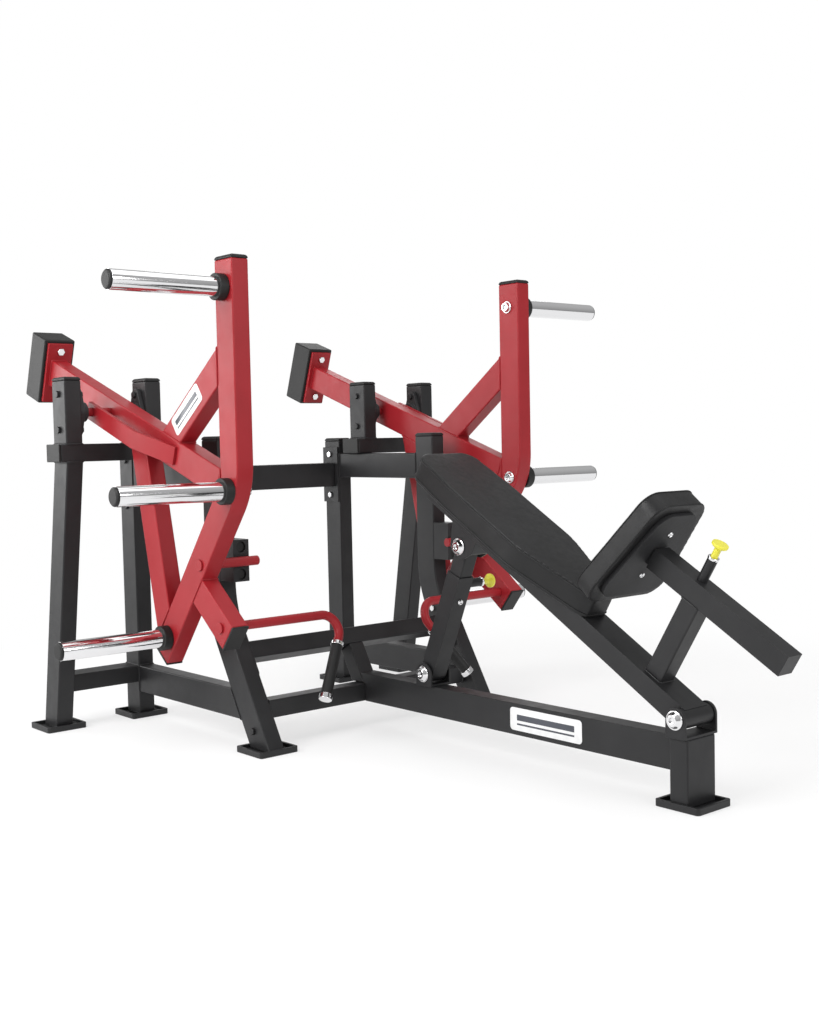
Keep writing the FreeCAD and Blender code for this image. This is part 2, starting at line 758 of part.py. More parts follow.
def build_frame_bolts(bright):
    """Black heads on the outer faces and bright heads on the bolted plates."""
    black = []
    mid_line = straight(*along(LEG_LINE, leg_distance(size("mid_beam_z"))), size("leg_slope_degrees"))
    joints = []
    outer_heads = [along(LEG_LINE, leg_distance(size("leg_bolt_z")))]
    for up in (-1, 1):
        rear = (size("rear_post_y"), size("rear_beam_z") + up * size("rear_bolt_reach"))
        joints.append(along(mid_line, up * size("mid_bolt_reach")))
        joints.append(rear)
        outer_heads.append(rear)
    for side_name, side in SIDES:
        for y, z in joints:
            bright.append(hex_bolt("plate_bolt_%s_%d" % (side_name, len(bright)),
                                   side * (LEG_INNER_X - size("plate")), y, z, -side))
        for y, z in outer_heads:
            black.append(hex_bolt("post_bolt_%s_%d" % (side_name, len(black)),
                                  side * LEG_OUTER_X, y, z, side))
        inner_face = size("inner_upright_x") - TUBE_HALF_WIDTH
        outer_face = size("outer_post_x") + TUBE_HALF_WIDTH
        for up in (-1, 1):
            z = size("pivot_z") + up * size("bearing_bolt_reach")
            for face, toward in ((inner_face, -side), (outer_face, side)):
                black.append(hex_bolt("upright_bolt_%s_%d" % (side_name, len(black)),
                                      side * face, size("pivot_y"), z, toward))
            flange = size("bearing_flange")
            inner_flange = size("inner_upright_x") + TUBE_HALF_WIDTH + flange
            outer_flange = size("outer_post_x") - TUBE_HALF_WIDTH - flange
            for face, toward in ((inner_flange, side), (outer_flange, -side)):
                black.append(hex_bolt("flange_nut_%s_%d" % (side_name, len(black)),
                                      side * face, size("pivot_y"), z, toward))
    group("black_bolts", black)
    group("bright_bolts", bright)


def domed_cap(name, length, width, x, y, z):
    """A low cap on top of an upright tube with its upper edges rounded over."""
    solid = doc.addObject("Part::Box", name + "_block")
    solid.setExpression("Length", length)
    solid.setExpression("Width", width)
    solid.setExpression("Height", "Sizes.cap_height")
    doc.recompute([solid])
    half_x = solid.Length.Value / 2
    half_y = solid.Width.Value / 2
    solid.Placement.Base = FreeCAD.Vector(x - half_x, y - half_y, z)
    doc.recompute([solid])
    rounded = doc.addObject("Part::Fillet", name)
    rounded.Base = solid
    radius = size("cap_height") - size("cap_rim")
    top = z + size("cap_height")
    picked = []
    for index, edge in enumerate(solid.Shape.Edges, start=1):
        if abs(edge.BoundBox.ZMin - top) < 1e-6:
            picked.append((index, radius, radius))
    rounded.Edges = picked
    return rounded


def build_frame_caps():
    """Black caps on every post, caps on the beam ends and the two bumpers per block."""
    caps = []
    for side_name, side in SIDES:
        tops = (
            ("leg", size("side_x"), size("front_leg_y"), size("leg_top")),
            ("post", size("side_x"), size("rear_post_y"), size("rear_post_top")),
            ("inner", size("inner_upright_x"), size("pivot_y"), size("upright_top")),
            ("outer", size("outer_post_x"), size("pivot_y"), size("upright_top")),
        )
        for top_name, x, y, z in tops:
            caps.append(domed_cap("cap_%s_%s" % (side_name, top_name), "Sizes.tube_width",
                                  "Sizes.tube_depth", side * x, y, z))
        ends = (
            ("near", size("top_beam_inner_x") - size("end_cap") / 2),
            ("far", size("top_beam_outer_x") + size("end_cap") / 2),
        )
        for end_name, x in ends:
            centre_point = (side * x, size("pivot_y"), TOP_BEAM_BOTTOM + SLIM_HALF)
            caps.append(box("beam_cap_%s_%s" % (side_name, end_name), "Sizes.end_cap",
                            "Sizes.tube_depth", "Sizes.slim_tube", centre_point))
        for up in (-1, 1):
            z = size("block_z") + up * size("bumper_spacing") / 2
            bumper = disc("bumper_%s_%d" % (side_name, up + 2), "Sizes.end_cap",
                          side * size("side_x"), size("block_front_y") + size("bumper_recess"), z)
            caps.append(bumper)
    group("frame_caps", caps)


def build_frame():
    """The standing frame."""
    build_spine()
    build_front_post()
    build_cross_beams()
    build_centre_strut()
    build_front_legs()
    build_side_tubes()
    build_outer_posts()
    build_top()
    build_flange_plates()
    pivot_bolts = build_brackets()
    build_feet()
    build_stop_blocks()
    build_bearings()
    build_frame_bolts(pivot_bolts)
    build_frame_caps()


# ---------------------------------------------------------------- levers
# Lever outlines are drawn about the pivot: (0, 0) is the shaft's axis.
MAIN_LINE = straight(0, 0, size("lever_slope"))
ARM_UPPER = straight(size("arm_y"), 0, -90)
ARM_CORNER = (size("arm_y"), size("arm_bend_z"))
ARM_LOWER = straight(*ARM_CORNER, size("arm_turn") - 90)
ARM_REAR = offset(ARM_UPPER, TUBE_HALF_DEPTH)
BRACE_NORMAL = math.radians(size("brace_slope") + 90)
BRACE_LINE = straight(size("brace_offset") * math.cos(BRACE_NORMAL),
                      size("brace_offset") * math.sin(BRACE_NORMAL), size("brace_slope"))
STRUT_REAR = straight(size("strut_rear_y"), size("strut_rear_z"), size("strut_slope"))
STRUT_LINE = offset(STRUT_REAR, TUBE_HALF_DEPTH)
BRACKET_LINE = straight(*along(ARM_LOWER, size("handle_bracket_drop")), size("arm_turn") - 180)
BRACKET_END = TUBE_HALF_DEPTH + size("handle_bracket_length")
HANDLE_POINT = along(BRACKET_LINE, TUBE_HALF_DEPTH + size("handle_drop"))
STOP_PIN_Y = size("block_front_y") - size("stop_pin_radius") - size("running_gap") - size("pivot_y")
STOP_PIN_POINT = (STOP_PIN_Y, size("block_z") - size("stop_pin_drop") - size("pivot_z"))
HORN_POINTS = (
    along(ARM_UPPER, -size("horn_above_pivot"), size("horn_setback")),
    along(ARM_UPPER, size("horn_below_pivot"), size("horn_setback")),
    along(ARM_LOWER, size("arm_lower_length") - size("horn_from_arm_end")),
)
LEVER_INNER = size("lever_x") - TUBE_HALF_WIDTH
LEVER_OUTER = size("lever_x") + TUBE_HALF_WIDTH


def at_pivot(solid, x=0.0):
    """Place a solid drawn about the lever pivot."""
    return place(solid, x, size("pivot_y"), size("pivot_z"))


def build_lever_tubes(name, side):
    """Bent arm, main tube, diagonal brace, lower strut and handle bracket."""
    x = side * size("lever_x")
    arm = bent_outline(ARM_UPPER, ARM_LOWER, TUBE_HALF_DEPTH, size("arm_bend_radius"),
                       straight(0, size("arm_top_z"), 0),
                       across(ARM_LOWER, size("arm_lower_length")))
    arm_body = pad_body(name + "_arm", arm, "Sizes.tube_width")
    node(name + "_arm", at_pivot(arm_body, x))
    main = tube_outline(MAIN_LINE, TUBE_HALF_DEPTH, ARM_REAR, across(MAIN_LINE, size("lever_tail")))
    main_body = pad_body(name + "_main_body", main, "Sizes.tube_width")
    coped = cut(name + "_main_tube", at_pivot(main_body, x), arm_body)
    node(name + "_main_tube", coped)
    brace = tube_outline(BRACE_LINE, TUBE_HALF_DEPTH, ARM_REAR, offset(MAIN_LINE, TUBE_HALF_DEPTH))
    brace_body = pad_body(name + "_brace", brace, "Sizes.tube_width")
    at_pivot(brace_body, x)
    strut = tube_outline(STRUT_LINE, TUBE_HALF_DEPTH, offset(ARM_LOWER, TUBE_HALF_DEPTH),
                         offset(MAIN_LINE, -TUBE_HALF_DEPTH))
    strut_body = pad_body(name + "_lower_strut", strut, "Sizes.tube_width")
    group(name + "_braces", [brace_body, at_pivot(strut_body, x)])
    bracket = tube_outline(BRACKET_LINE, TUBE_HALF_DEPTH, offset(ARM_LOWER, -TUBE_HALF_DEPTH),
                           across(BRACKET_LINE, BRACKET_END))
    bracket_body = pad_body(name + "_handle_bracket", bracket, "Sizes.tube_width")
    node(name + "_handle_bracket", at_pivot(bracket_body, x))


def build_outrigger(name, side):
    """Flat bar beside the main tube, bent once so that its front end lies against the tube."""
    thick = size("outrigger_thick")
    reach = size("outrigger_reach")
    bend = size("outrigger_bend")
    # drawn in the plane (distance forward along the main tube, x outward)
    inner = straight(0, reach - thick / 2, 0)
    outer = straight(0, reach + thick / 2, 0)
    toe = TUBE_HALF_WIDTH + size("outrigger_toe")
    drop = reach + thick / 2 - toe
    turn = -math.degrees(math.atan2(drop, size("outrigger_end") - bend))
    slanted_outer = straight(bend, reach + thick / 2, turn)
    slanted_inner = offset(slanted_outer, -thick)
    tube_face = straight(0, TUBE_HALF_WIDTH, 0)
    start = straight(-size("outrigger_tail"), 0, 90)
    finish = straight(size("outrigger_end"), 0, 90)
    outline = [
        meet(inner, start),
        meet(inner, slanted_inner),
        meet(slanted_inner, tube_face),
        meet(tube_face, finish),
        meet(slanted_outer, finish),
        meet(slanted_outer, outer),
        meet(outer, start),
    ]
    mirrored = [(side * across_x, -forward) for forward, across_x in outline]
    bar = pad_body(name + "_outrigger_bar", mirrored, "Sizes.outrigger_height", "XY_Plane")
    place(bar, side * size("lever_x"), size("pivot_y"), size("pivot_z"), size("lever_slope"))
    shaft = rod(name + "_shaft_clear", "Sizes.shaft_radius", side * LEVER_OUTER,
                side * (LEVER_OUTER + 2 * reach), size("pivot_y"), size("pivot_z"))
    node(name + "_outrigger", cut(name + "_outrigger", bar, shaft))


def build_shaft(name, side):
    """Round shaft each side of the main tube, running into the two bearings."""
    gap = size("shaft_end_gap")
    halves = (
        ("inner", size("inner_upright_x") + TUBE_HALF_WIDTH + gap, LEVER_INNER),
        ("outer", LEVER_OUTER, size("outer_post_x") - TUBE_HALF_WIDTH - gap),
    )
    parts = []
    for half_name, near_x, far_x in halves:
        parts.append(rod("%s_%s_shaft" % (name, half_name), "Sizes.shaft_radius",
                         side * near_x, side * far_x, size("pivot_y"), size("pivot_z")))
    group(name + "_hub_shaft", parts)


def tail_box(label, length, depth, height, distance, sideways, side, turn):
    """A box centred on the main line this far behind the pivot."""
    y, z = along(MAIN_LINE, distance, sideways)
    centre_point = (side * size("lever_x"), y + size("pivot_y"), z + size("pivot_z"))
    return box(label, length, depth, height, centre_point, turn)


def build_counterweight(name, side):
    """Mounting plate and block at the tail of the main tube."""
    tail = size("lever_tail")
    plate = size("weight_plate")
    slope = size("lever_slope")
    node(name + "_weight_plate", tail_box(name + "_weight_plate", "Sizes.tube_depth",
         "Sizes.weight_plate", "Sizes.weight_plate_height", tail + plate / 2, 0, side, slope))
    block_middle = tail + plate + size("weight_length") / 2
    node(name + "_counterweight", tail_box(name + "_counterweight", "Sizes.weight_width",
         "Sizes.weight_length", "Sizes.weight_height", block_middle, size("weight_rise"),
         side, slope))


def build_handle(name, side):
    """Bent round bar through the bracket, its stop pin, and the slanted grip."""
    fall = size("handle_fall")
    splay = math.radians(size("handle_splay"))
    corner = size("handle_corner_x")
    # sketch plane: x across the machine, y forward and down along the grip's fall
    direction = FreeCAD.Vector(side * math.cos(splay), math.sin(splay), 0)
    inward = FreeCAD.Vector(side, 0, 0)
    corner_point = FreeCAD.Vector(side * corner, 0, 0)
    half_angle = splay / 2
    tangent = size("handle_bend_radius") / math.tan(half_angle)
    bisector = (inward + direction).normalize()
    centre = corner_point + bisector * (size("handle_bend_radius") / math.sin(half_angle))
    arc_start = corner_point + inward * tangent
    arc_end = corner_point + direction * tangent
    middle = centre - bisector * size("handle_bend_radius")
    bar_end = corner_point + direction * size("grip_start")
    path_edges = [
        Part.LineSegment(FreeCAD.Vector(side * LEVER_INNER, 0, 0), arc_start),
        Part.Arc(arc_start, middle, arc_end),
    ]
    if tangent < size("grip_start"):
        path_edges.append(Part.LineSegment(arc_end, bar_end))
    body = doc.addObject("PartDesign::Body", name + "_handle_bar_body")
    path = sketch_on(body, "XY_Plane", path_edges, name + "_handle_path")
    profile = sketch_on(body, "YZ_Plane", [circle(0, 0, size("bar_radius"))], name + "_handle_round")
    profile.AttachmentOffset = FreeCAD.Placement(
        FreeCAD.Vector(0, 0, side * LEVER_INNER), FreeCAD.Rotation())
    pipe = body.newObject("PartDesign::AdditivePipe", name + "_handle_pipe")
    pipe.Profile = profile
    pipe.Spine = path
    body.Tip = pipe
    y = HANDLE_POINT[0] + size("pivot_y")
    z = HANDLE_POINT[1] + size("pivot_z")
    place(body, 0, y, z, 180 + fall)
    boss_end = LEVER_OUTER + size("boss_height")
    boss = rod(name + "_handle_boss", "Sizes.bar_radius + Sizes.boss_grow", side * LEVER_OUTER,
               side * boss_end, y, z)
    pin_y = STOP_PIN_POINT[0] + size("pivot_y")
    pin_z = STOP_PIN_POINT[1] + size("pivot_z")
    pin = rod(name + "_stop_pin", "Sizes.stop_pin_radius", side * size("stop_pin_tip_x"),
              side * LEVER_INNER, pin_y, pin_z)
    pin_boss = rod(name + "_stop_boss", "Sizes.stop_pin_radius + Sizes.boss_grow",
                   side * LEVER_OUTER, side * boss_end, pin_y, pin_z)
    group(name + "_round_bars", [body, boss, pin, pin_boss])
    # grip pieces are turned about X, then swung onto the slanted end of the bar
    grip_frame = FreeCAD.Placement(FreeCAD.Vector(0, y, z), FreeCAD.Rotation(X_AXIS, 180 + fall))
    heading = 180 - size("handle_splay") if side < 0 else size("handle_splay")
    local = FreeCAD.Placement(corner_point, FreeCAD.Rotation(FreeCAD.Vector(0, 0, 1), heading))
    grip_place = grip_frame.multiply(local)
    ring = size("ring_width")
    grip = turned_body(name + "_grip", [(size("grip_start"), size("grip_end"), size("grip_radius"))])
    grip.Placement = grip_place
    node(name + "_handle_grip", grip)
    collar = turned_body(name + "_grip_ring",
                         [(size("grip_start") - ring, size("grip_start"), size("ring_radius"))],
                         size("bar_radius"))
    collar.Placement = grip_place
    end = turned_body(name + "_grip_end",
                      [(size("grip_end"), size("handle_length"), size("ring_radius"))])
    end.Placement = grip_place
    return [collar, end]


def build_horns(name, side):
    """Three plate horns with rubber collars at their roots and black end caps."""
    horns = []
    collars = []
    caps = []
    for index, (local_y, local_z) in enumerate(HORN_POINTS, start=1):
        y = local_y + size("pivot_y")
        z = local_z + size("pivot_z")
        ring_end = LEVER_OUTER + size("collar_length")
        tip = size("horn_tip_x")
        end = tip + size("horn_cap")
        root = size("horn_root_radius")
        horn = [(LEVER_OUTER, 0.0), (LEVER_OUTER, root), (ring_end, root),
                (ring_end, size("horn_radius")), (tip, size("horn_radius")), (tip, 0.0)]
        collar = [(LEVER_OUTER, root), (LEVER_OUTER, size("collar_radius")),
                  (ring_end, size("collar_radius")), (ring_end, root)]
        cap = [(tip, 0.0), (tip, root), (tip + size("horn_cap") / 2, root),
               (end, size("horn_cap_crown")), (end, 0.0)]
        for made, kind, points in ((horns, "horn", horn), (collars, "collar", collar),
                                   (caps, "horn_cap", cap)):
            sided = [(side * x, radius) for x, radius in points]
            body = turned_outline("%s_%s_%d" % (name, kind, index), sided)
            made.append(place(body, 0, y, z))
    group(name + "_horns", horns)
    return collars + caps


def build_lever_trim(name, side, bright, rubber):
    """Black caps on the open tube ends and the bright bolts."""
    x = side * size("lever_x")
    cap = size("end_cap")
    rubber.append(domed_cap(name + "_arm_cap", "Sizes.tube_width", "Sizes.tube_depth", x,
                            size("arm_y") + size("pivot_y"), size("arm_top_z") + size("pivot_z")))
    low = along(ARM_LOWER, size("arm_lower_length") + cap / 2) + (size("arm_turn"),)
    end = along(BRACKET_LINE, BRACKET_END + cap / 2) + (size("arm_turn") - 90,)
    for index, (local_y, local_z, turn) in enumerate((low, end), start=1):
        centre_point = (x, local_y + size("pivot_y"), local_z + size("pivot_z"))
        rubber.append(box("%s_tube_cap_%d" % (name, index), "Sizes.tube_width",
                          "Sizes.tube_depth", "Sizes.end_cap", centre_point, turn))
    group(name + "_rubber_trim", rubber)
    for index, (local_y, local_z) in enumerate(HORN_POINTS, start=1):
        points = [(0.0, 0.0)] + bolt_profile(0.0, size("horn_washer_radius"))
        sided = [(side * (LEVER_INNER - x), radius) for x, radius in points]
        bolt = turned_outline("%s_horn_bolt_%d" % (name, index), sided)
        bright.append(at_pivot(bolt))
        bolt.Placement.Base += FreeCAD.Vector(0, local_y, local_z)
    for up in (-1, 1):
        head_y, head_z = along(MAIN_LINE, size("lever_tail"), up * size("weight_bolt_reach"))
        head = doc.addObject("Part::Prism", "%s_weight_bolt_%d" % (name, up + 2))
        head.Polygon = 6
        head.setExpression("Circumradius", "Sizes.weight_bolt_radius")
        head.setExpression("Height", "Sizes.small_head_thick")
        head.Placement = FreeCAD.Placement(
            FreeCAD.Vector(x, head_y + size("pivot_y"), head_z + size("pivot_z")),
            FreeCAD.Rotation(X_AXIS, 90 + size("lever_slope")))
        bright.append(head)
    group(name + "_bright_trim", bright)


def build_lever(side_name, side):
    """One complete lever."""
    name = "lever_" + side_name
    build_lever_tubes(name, side)
    build_outrigger(name, side)
    build_shaft(name, side)
    build_counterweight(name, side)
    bright = build_handle(name, side)
    rubber = build_horns(name, side)
    build_lever_trim(name, side, bright, rubber)


# ---------------------------------------------------------------- bench
# Bench outlines are drawn about the hinge: y runs up the rail, z away from it.
def at_hinge(solid, x=0.0):
    """Place a solid drawn in the bench's own frame."""
    return place(solid, x, size("hinge_y"), size("hinge_z"), size("bench_slope"))


def bench_placement(u, n):
    """The bench frame moved to a point up the rail and away from it."""
    rotation = FreeCAD.Rotation(X_AXIS, size("bench_slope"))
    base = FreeCAD.Vector(0, size("hinge_y"), size("hinge_z"))
    return FreeCAD.Placement(base + rotation.multVec(FreeCAD.Vector(0, u, n)), rotation)


def build_rail():
    """Flat-lying rail coped onto the hinge barrel, and the barrel itself."""
    rail = doc.addObject("Part::Box", "bench_rail_tube")
    rail.setExpression("Length", "Sizes.rail_width")
    rail.setExpression("Width", "Sizes.rail_length")
    rail.setExpression("Height", "Sizes.slim_tube")
    rail.Placement = bench_placement(0, -SLIM_HALF).multiply(
        FreeCAD.Placement(FreeCAD.Vector(-size("rail_width") / 2, 0, 0), FreeCAD.Rotation()))
    cope = rod("bench_rail_cope", "Sizes.barrel_radius", -size("rail_width"), size("rail_width"),
               size("hinge_y"), size("hinge_z"))
    coped = cut("bench_rail_coped", rail, cope)
    half = size("barrel_half")
    bore = size("bolt_radius") + size("running_gap")
    barrel = turned_body("bench_barrel", [(-half, half, size("barrel_radius"))], bore)
    group("bench_rail", [coped, at_hinge(barrel)])


def build_long_pad():
    """Long back pad, narrow at the foot, widest past the middle, rounded at the top."""
    half_outline = []
    for station in ("foot", "neck", "waist", "chest", "head"):
        kinds = ("half", "u", "round")
        half_outline.append(tuple(size("pad_%s_%s" % (station, kind)) for kind in kinds))
    outline = list(half_outline)
    for x, u, radius in reversed(half_outline):
        outline.append((-x, u, radius))
    pad = pad_body("long_pad", outline, "Sizes.pad_thick", "XY_Plane", False)
    pad.Placement = bench_placement(0, SLIM_HALF)
    node("long_pad", pad)


def housing(name):
    """Hollow round housing of a pull pin, standing on its own origin along X."""
    tube = doc.addObject("Part::Cylinder", name + "_round")
    tube.setExpression("Radius", "Sizes.housing_radius")
    tube.setExpression("Height", "Sizes.housing_length")
    hole = doc.addObject("Part::Cylinder", name + "_hole")
    hole.setExpression("Radius", "Sizes.stem_radius + Sizes.running_gap")
    hole.setExpression("Height", "Sizes.housing_length")
    return cut(name, tube, hole)


def build_seat_post():
    """Post square to the rail, the sleeve on top of it, closed in front, and its pin housing."""
    middle = size("seat_post_u")
    outline = rectangle(middle - SLIM_HALF, SLIM_HALF, middle + SLIM_HALF, size("seat_post_top"))
    node("seat_post", at_hinge(pad_body("seat_post", outline, "Sizes.slim_tube")))
    low = size("seat_post_top")
    outline = rectangle(size("sleeve_front"), low, size("sleeve_rear"), low + size("slim_tube"))
    sleeve = pad_body("seat_sleeve_tube", outline, "Sizes.slim_tube")
    wall = size("sleeve_wall")
    hollow = rectangle(size("sleeve_front") + wall, low + wall,
                       size("sleeve_rear") + wall, low + size("slim_tube") - wall)
    pocket(sleeve, edges_of(hollow), "Sizes.slim_tube - 2 * Sizes.sleeve_wall", "seat_sleeve_bore")
    hole = [circle(0, size("seat_pin_u"), size("stem_radius") + size("running_gap"))]
    pocket(sleeve, hole, "Sizes.slim_tube", "seat_sleeve_pin_hole", "XY_Plane")
    doc.getObject("seat_sleeve_pin_hole_outline").AttachmentOffset = FreeCAD.Placement(
        FreeCAD.Vector(0, 0, low + size("slim_tube")), FreeCAD.Rotation())
    at_hinge(sleeve)
    collar = housing("seat_pin_housing")
    collar.Placement = bench_placement(size("seat_pin_u"), low + size("slim_tube"))
    group("seat_sleeve", [sleeve, collar])


def build_strut_bracket():
    """Two rounded side plates and a front web under the rail, with the strut bolt."""
    u = size("bracket_pivot_u")
    drop = size("bracket_pivot_drop")
    tip = size("bracket_tip_radius")
    front = size("bracket_front_u")
    corner = size("bracket_corner")
    outline = [(front, -SLIM_HALF), (front, -size("bracket_front_drop")),
               (u - tip, -drop - tip, corner), (u + tip, -drop - tip, corner),
               (size("bracket_rear_u"), -SLIM_HALF)]
    body = pad_body("strut_bracket", outline, "2 * Sizes.bracket_outer_half")
    plate = size("ear_plate")
    gap = rectangle(front + plate, -2 * drop, size("bracket_rear_u") + plate, 0)
    pocket(body, edges_of(gap), "2 * (Sizes.bracket_outer_half - Sizes.ear_plate)", "strut_bracket_gap")
    node("strut_bracket", at_hinge(body))
    bolt = cross_bolt("strut_top_bolt", size("bracket_outer_half"))
    bore = [circle(u, -drop, size("bolt_radius"))]
    pocket(body, bore, "4 * Sizes.bracket_outer_half", "strut_bracket_bore")
    bolt.Placement = bench_placement(u, -drop)
    node("strut_top_bolt", bolt)


def seat_placement():
    """Frame of the seat: origin where the sleeve's axis meets the board, z out of it."""
    origin = bench_placement(size("slider_end"), size("seat_post_top") + SLIM_HALF).Base
    # the seat's face looks up the slope; its own y axis drops across the face
    rotation = FreeCAD.Rotation(X_AXIS, size("seat_tilt") - 90)
    return FreeCAD.Placement(origin, rotation)


def seat_outline(inset):
    """Tapered outline with rounded corners; its wide end is the lower one."""
    wide = size("seat_wide") - inset
    narrow = size("seat_narrow") - inset
    low = size("seat_wide_end") - inset
    high = size("seat_narrow_end") + inset
    corner = size("seat_corner")
    return [(wide, low, corner), (-wide, low, corner), (-narrow, high, corner), (narrow, high, corner)]


def build_seat():
    """Slider inside the sleeve, the board on its end and the seat pad on the board."""
    low = size("seat_post_top") + size("sleeve_wall") + size("running_gap")
    high = size("seat_post_top") + size("slim_tube") - size("sleeve_wall") - size("running_gap")
    middle = size("seat_post_top") + SLIM_HALF
    face = straight(size("slider_end"), middle, 90 + size("seat_tilt") - size("bench_slope"))
    centre = straight(0, middle, 0)
    outline = tube_outline(centre, (high - low) / 2, straight(size("slider_start"), 0, 90), face)
    slider = pad_body("seat_slider", outline,
                      "Sizes.slim_tube - 2 * Sizes.sleeve_wall - 2 * Sizes.running_gap")
    node("seat_slider", at_hinge(slider))
    board = pad_body("seat_board", seat_outline(size("board_inset")), "Sizes.seat_board",
                     "XY_Plane", False)
    board.Placement = seat_placement()
    node("seat_board", board)
    pad = pad_body("seat_pad", seat_outline(0.0), "Sizes.seat_pad_thick", "XY_Plane", False)
    lift = FreeCAD.Placement(FreeCAD.Vector(0, 0, size("seat_board")), FreeCAD.Rotation())
    pad.Placement = seat_placement().multiply(lift)
    node("seat_pad", pad)


def pull_pin(name, inside):
    """Stem and round knob of a pull pin, turned about X from the housing's foot."""
    housing_end = size("housing_length")
    shown = housing_end + size("stem_show")
    flare_start = shown - size("knob_flare")
    knob_end = shown + size("knob_thick")
    points = [
        (-inside, 0.0),
        (-inside, size("stem_radius")),
        (housing_end, size("stem_radius")),
        (housing_end, size("knob_neck_radius")),
        (flare_start, size("knob_neck_radius")),
        (shown, size("knob_radius")),
        (knob_end, size("knob_radius")),
        (knob_end, 0.0),
    ]
    return turned_outline(name, points)


def strut_lean():
    """Angle of the strut from upright: from its foot pivot to the bolt under the rail."""
    top = bench_placement(size("bracket_pivot_u"), -size("bracket_pivot_drop")).Base
    return math.degrees(math.atan2(size("strut_y") - top.y, top.z - size("strut_z")))


def strut_placement(reach, sideways=0.0):
    """The strut's frame, z up the strut, moved up it."""
    rotation = FreeCAD.Rotation(X_AXIS, strut_lean())
    base = FreeCAD.Vector(sideways, size("strut_y"), size("strut_z"))
    return FreeCAD.Placement(base + rotation.multVec(FreeCAD.Vector(0, 0, reach)), rotation)


def build_strut():
    """Telescopic strut: outer tube on its barrel, inner tube, and the pin housing."""
    half = SLIM_HALF
    outline = rectangle(-half, 0, half, size("strut_outer_length"))
    tube = pad_body("strut_outer_tube", outline, "Sizes.slim_tube")
    inner_half = half - size("strut_wall")
    hollow = rectangle(-inner_half, size("strut_bore_start"),
                       inner_half, size("strut_outer_length") + half)
    pocket(tube, edges_of(hollow), "Sizes.slim_tube - 2 * Sizes.strut_wall", "strut_outer_bore")
    pocket(tube, [circle(0, 0, size("barrel_radius"))], "2 * Sizes.slim_tube", "strut_outer_cope")
    tube.Placement = strut_placement(0)
    hole = rod("strut_pin_hole", "Sizes.stem_radius + Sizes.running_gap", 0, 2 * half, 0, 0)
    hole.Placement.Base = strut_placement(size("strut_pin_reach")).Base
    node("strut_outer", cut("strut_outer", tube, hole))
    barrel_half = half + size("strut_barrel_overhang")
    bore = size("bolt_radius") + size("running_gap")
    barrel = turned_body("strut_barrel", [(-barrel_half, barrel_half, size("barrel_radius"))], bore)
    barrel.Placement = strut_placement(0)
    collar = housing("strut_pin_housing")
    collar.Placement = FreeCAD.Placement(strut_placement(size("strut_pin_reach"), half).Base,
                                         FreeCAD.Rotation(Y_AXIS, 90))
    group("strut_barrel_and_housing", [barrel, collar])
    inner = doc.addObject("Part::Box", "strut_inner")
    inner.setExpression("Length", "Sizes.strut_inner_width")
    inner.setExpression("Width", "Sizes.strut_inner_width")
    inner.setExpression("Height", "Sizes.strut_inner_end - Sizes.strut_inner_start")
    inner_shift = FreeCAD.Vector(-size("strut_inner_width") / 2, -size("strut_inner_width") / 2, 0)
    inner.Placement = strut_placement(size("strut_inner_start")).multiply(
        FreeCAD.Placement(inner_shift, FreeCAD.Rotation()))
    node("strut_inner", inner)


def build_pull_pins():
    """Spring-loaded pins: one across the strut, one on top of the seat sleeve."""
    strut_pin = pull_pin("strut_pin", size("strut_wall") - size("pin_tip_gap"))
    strut_pin.Placement = FreeCAD.Placement(
        strut_placement(size("strut_pin_reach"), SLIM_HALF).Base, FreeCAD.Rotation())
    node("strut_pin", strut_pin)
    seat_pin = pull_pin("seat_pin", size("sleeve_wall") - size("pin_tip_gap"))
    foot = bench_placement(size("seat_pin_u"), size("seat_post_top") + size("slim_tube"))
    seat_pin.Placement = foot.multiply(
        FreeCAD.Placement(FreeCAD.Vector(), FreeCAD.Rotation(Y_AXIS, -90)))
    node("seat_pin", seat_pin)


def build_bench():
    """Everything that tilts with the bench, and the strut that holds it."""
    build_rail()
    build_long_pad()
    build_seat_post()
    build_strut_bracket()
    build_seat()
    build_strut()
    build_pull_pins()


# ---------------------------------------------------------------- build, check, write
build_frame()
for side_name, side in SIDES:
    build_lever(side_name, side)
build_bench()
doc.recompute()

for item in doc.Objects:
    if "Invalid" in item.State or "Error" in item.State:
        raise RuntimeError("%s is not valid: %s" % (item.Name, item.State))
os.makedirs("parts", exist_ok=True)
overall = FreeCAD.BoundBox()
for item in nodes:
    shape = item.Shape
    if shape.isNull() or not shape.isValid() or not shape.Solids:
        raise RuntimeError("%s has no valid shape" % item.Label)
    overall.add(shape.BoundBox)
    shape.exportStep("parts/%s.step" % item.Label)
print(len(nodes), "sub-parts", overall)
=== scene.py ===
import json
import math
import bmesh
import bpy
from mathutils import Matrix, Vector
from mathutils.bvhtree import BVHTree


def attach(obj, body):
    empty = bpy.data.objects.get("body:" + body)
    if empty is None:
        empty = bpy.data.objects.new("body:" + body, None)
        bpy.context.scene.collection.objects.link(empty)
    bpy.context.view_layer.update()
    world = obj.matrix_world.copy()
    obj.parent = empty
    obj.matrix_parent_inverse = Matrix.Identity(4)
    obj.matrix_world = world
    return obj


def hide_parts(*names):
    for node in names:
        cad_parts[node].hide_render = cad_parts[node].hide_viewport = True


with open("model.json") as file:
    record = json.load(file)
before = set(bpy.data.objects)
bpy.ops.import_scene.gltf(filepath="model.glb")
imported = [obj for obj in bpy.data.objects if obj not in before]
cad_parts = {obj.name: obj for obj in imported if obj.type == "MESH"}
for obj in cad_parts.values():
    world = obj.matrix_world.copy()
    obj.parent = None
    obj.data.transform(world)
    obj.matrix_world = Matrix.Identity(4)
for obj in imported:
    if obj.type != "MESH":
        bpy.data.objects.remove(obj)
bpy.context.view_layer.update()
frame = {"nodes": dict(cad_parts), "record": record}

NODES = frame["nodes"]
scene = bpy.context.scene


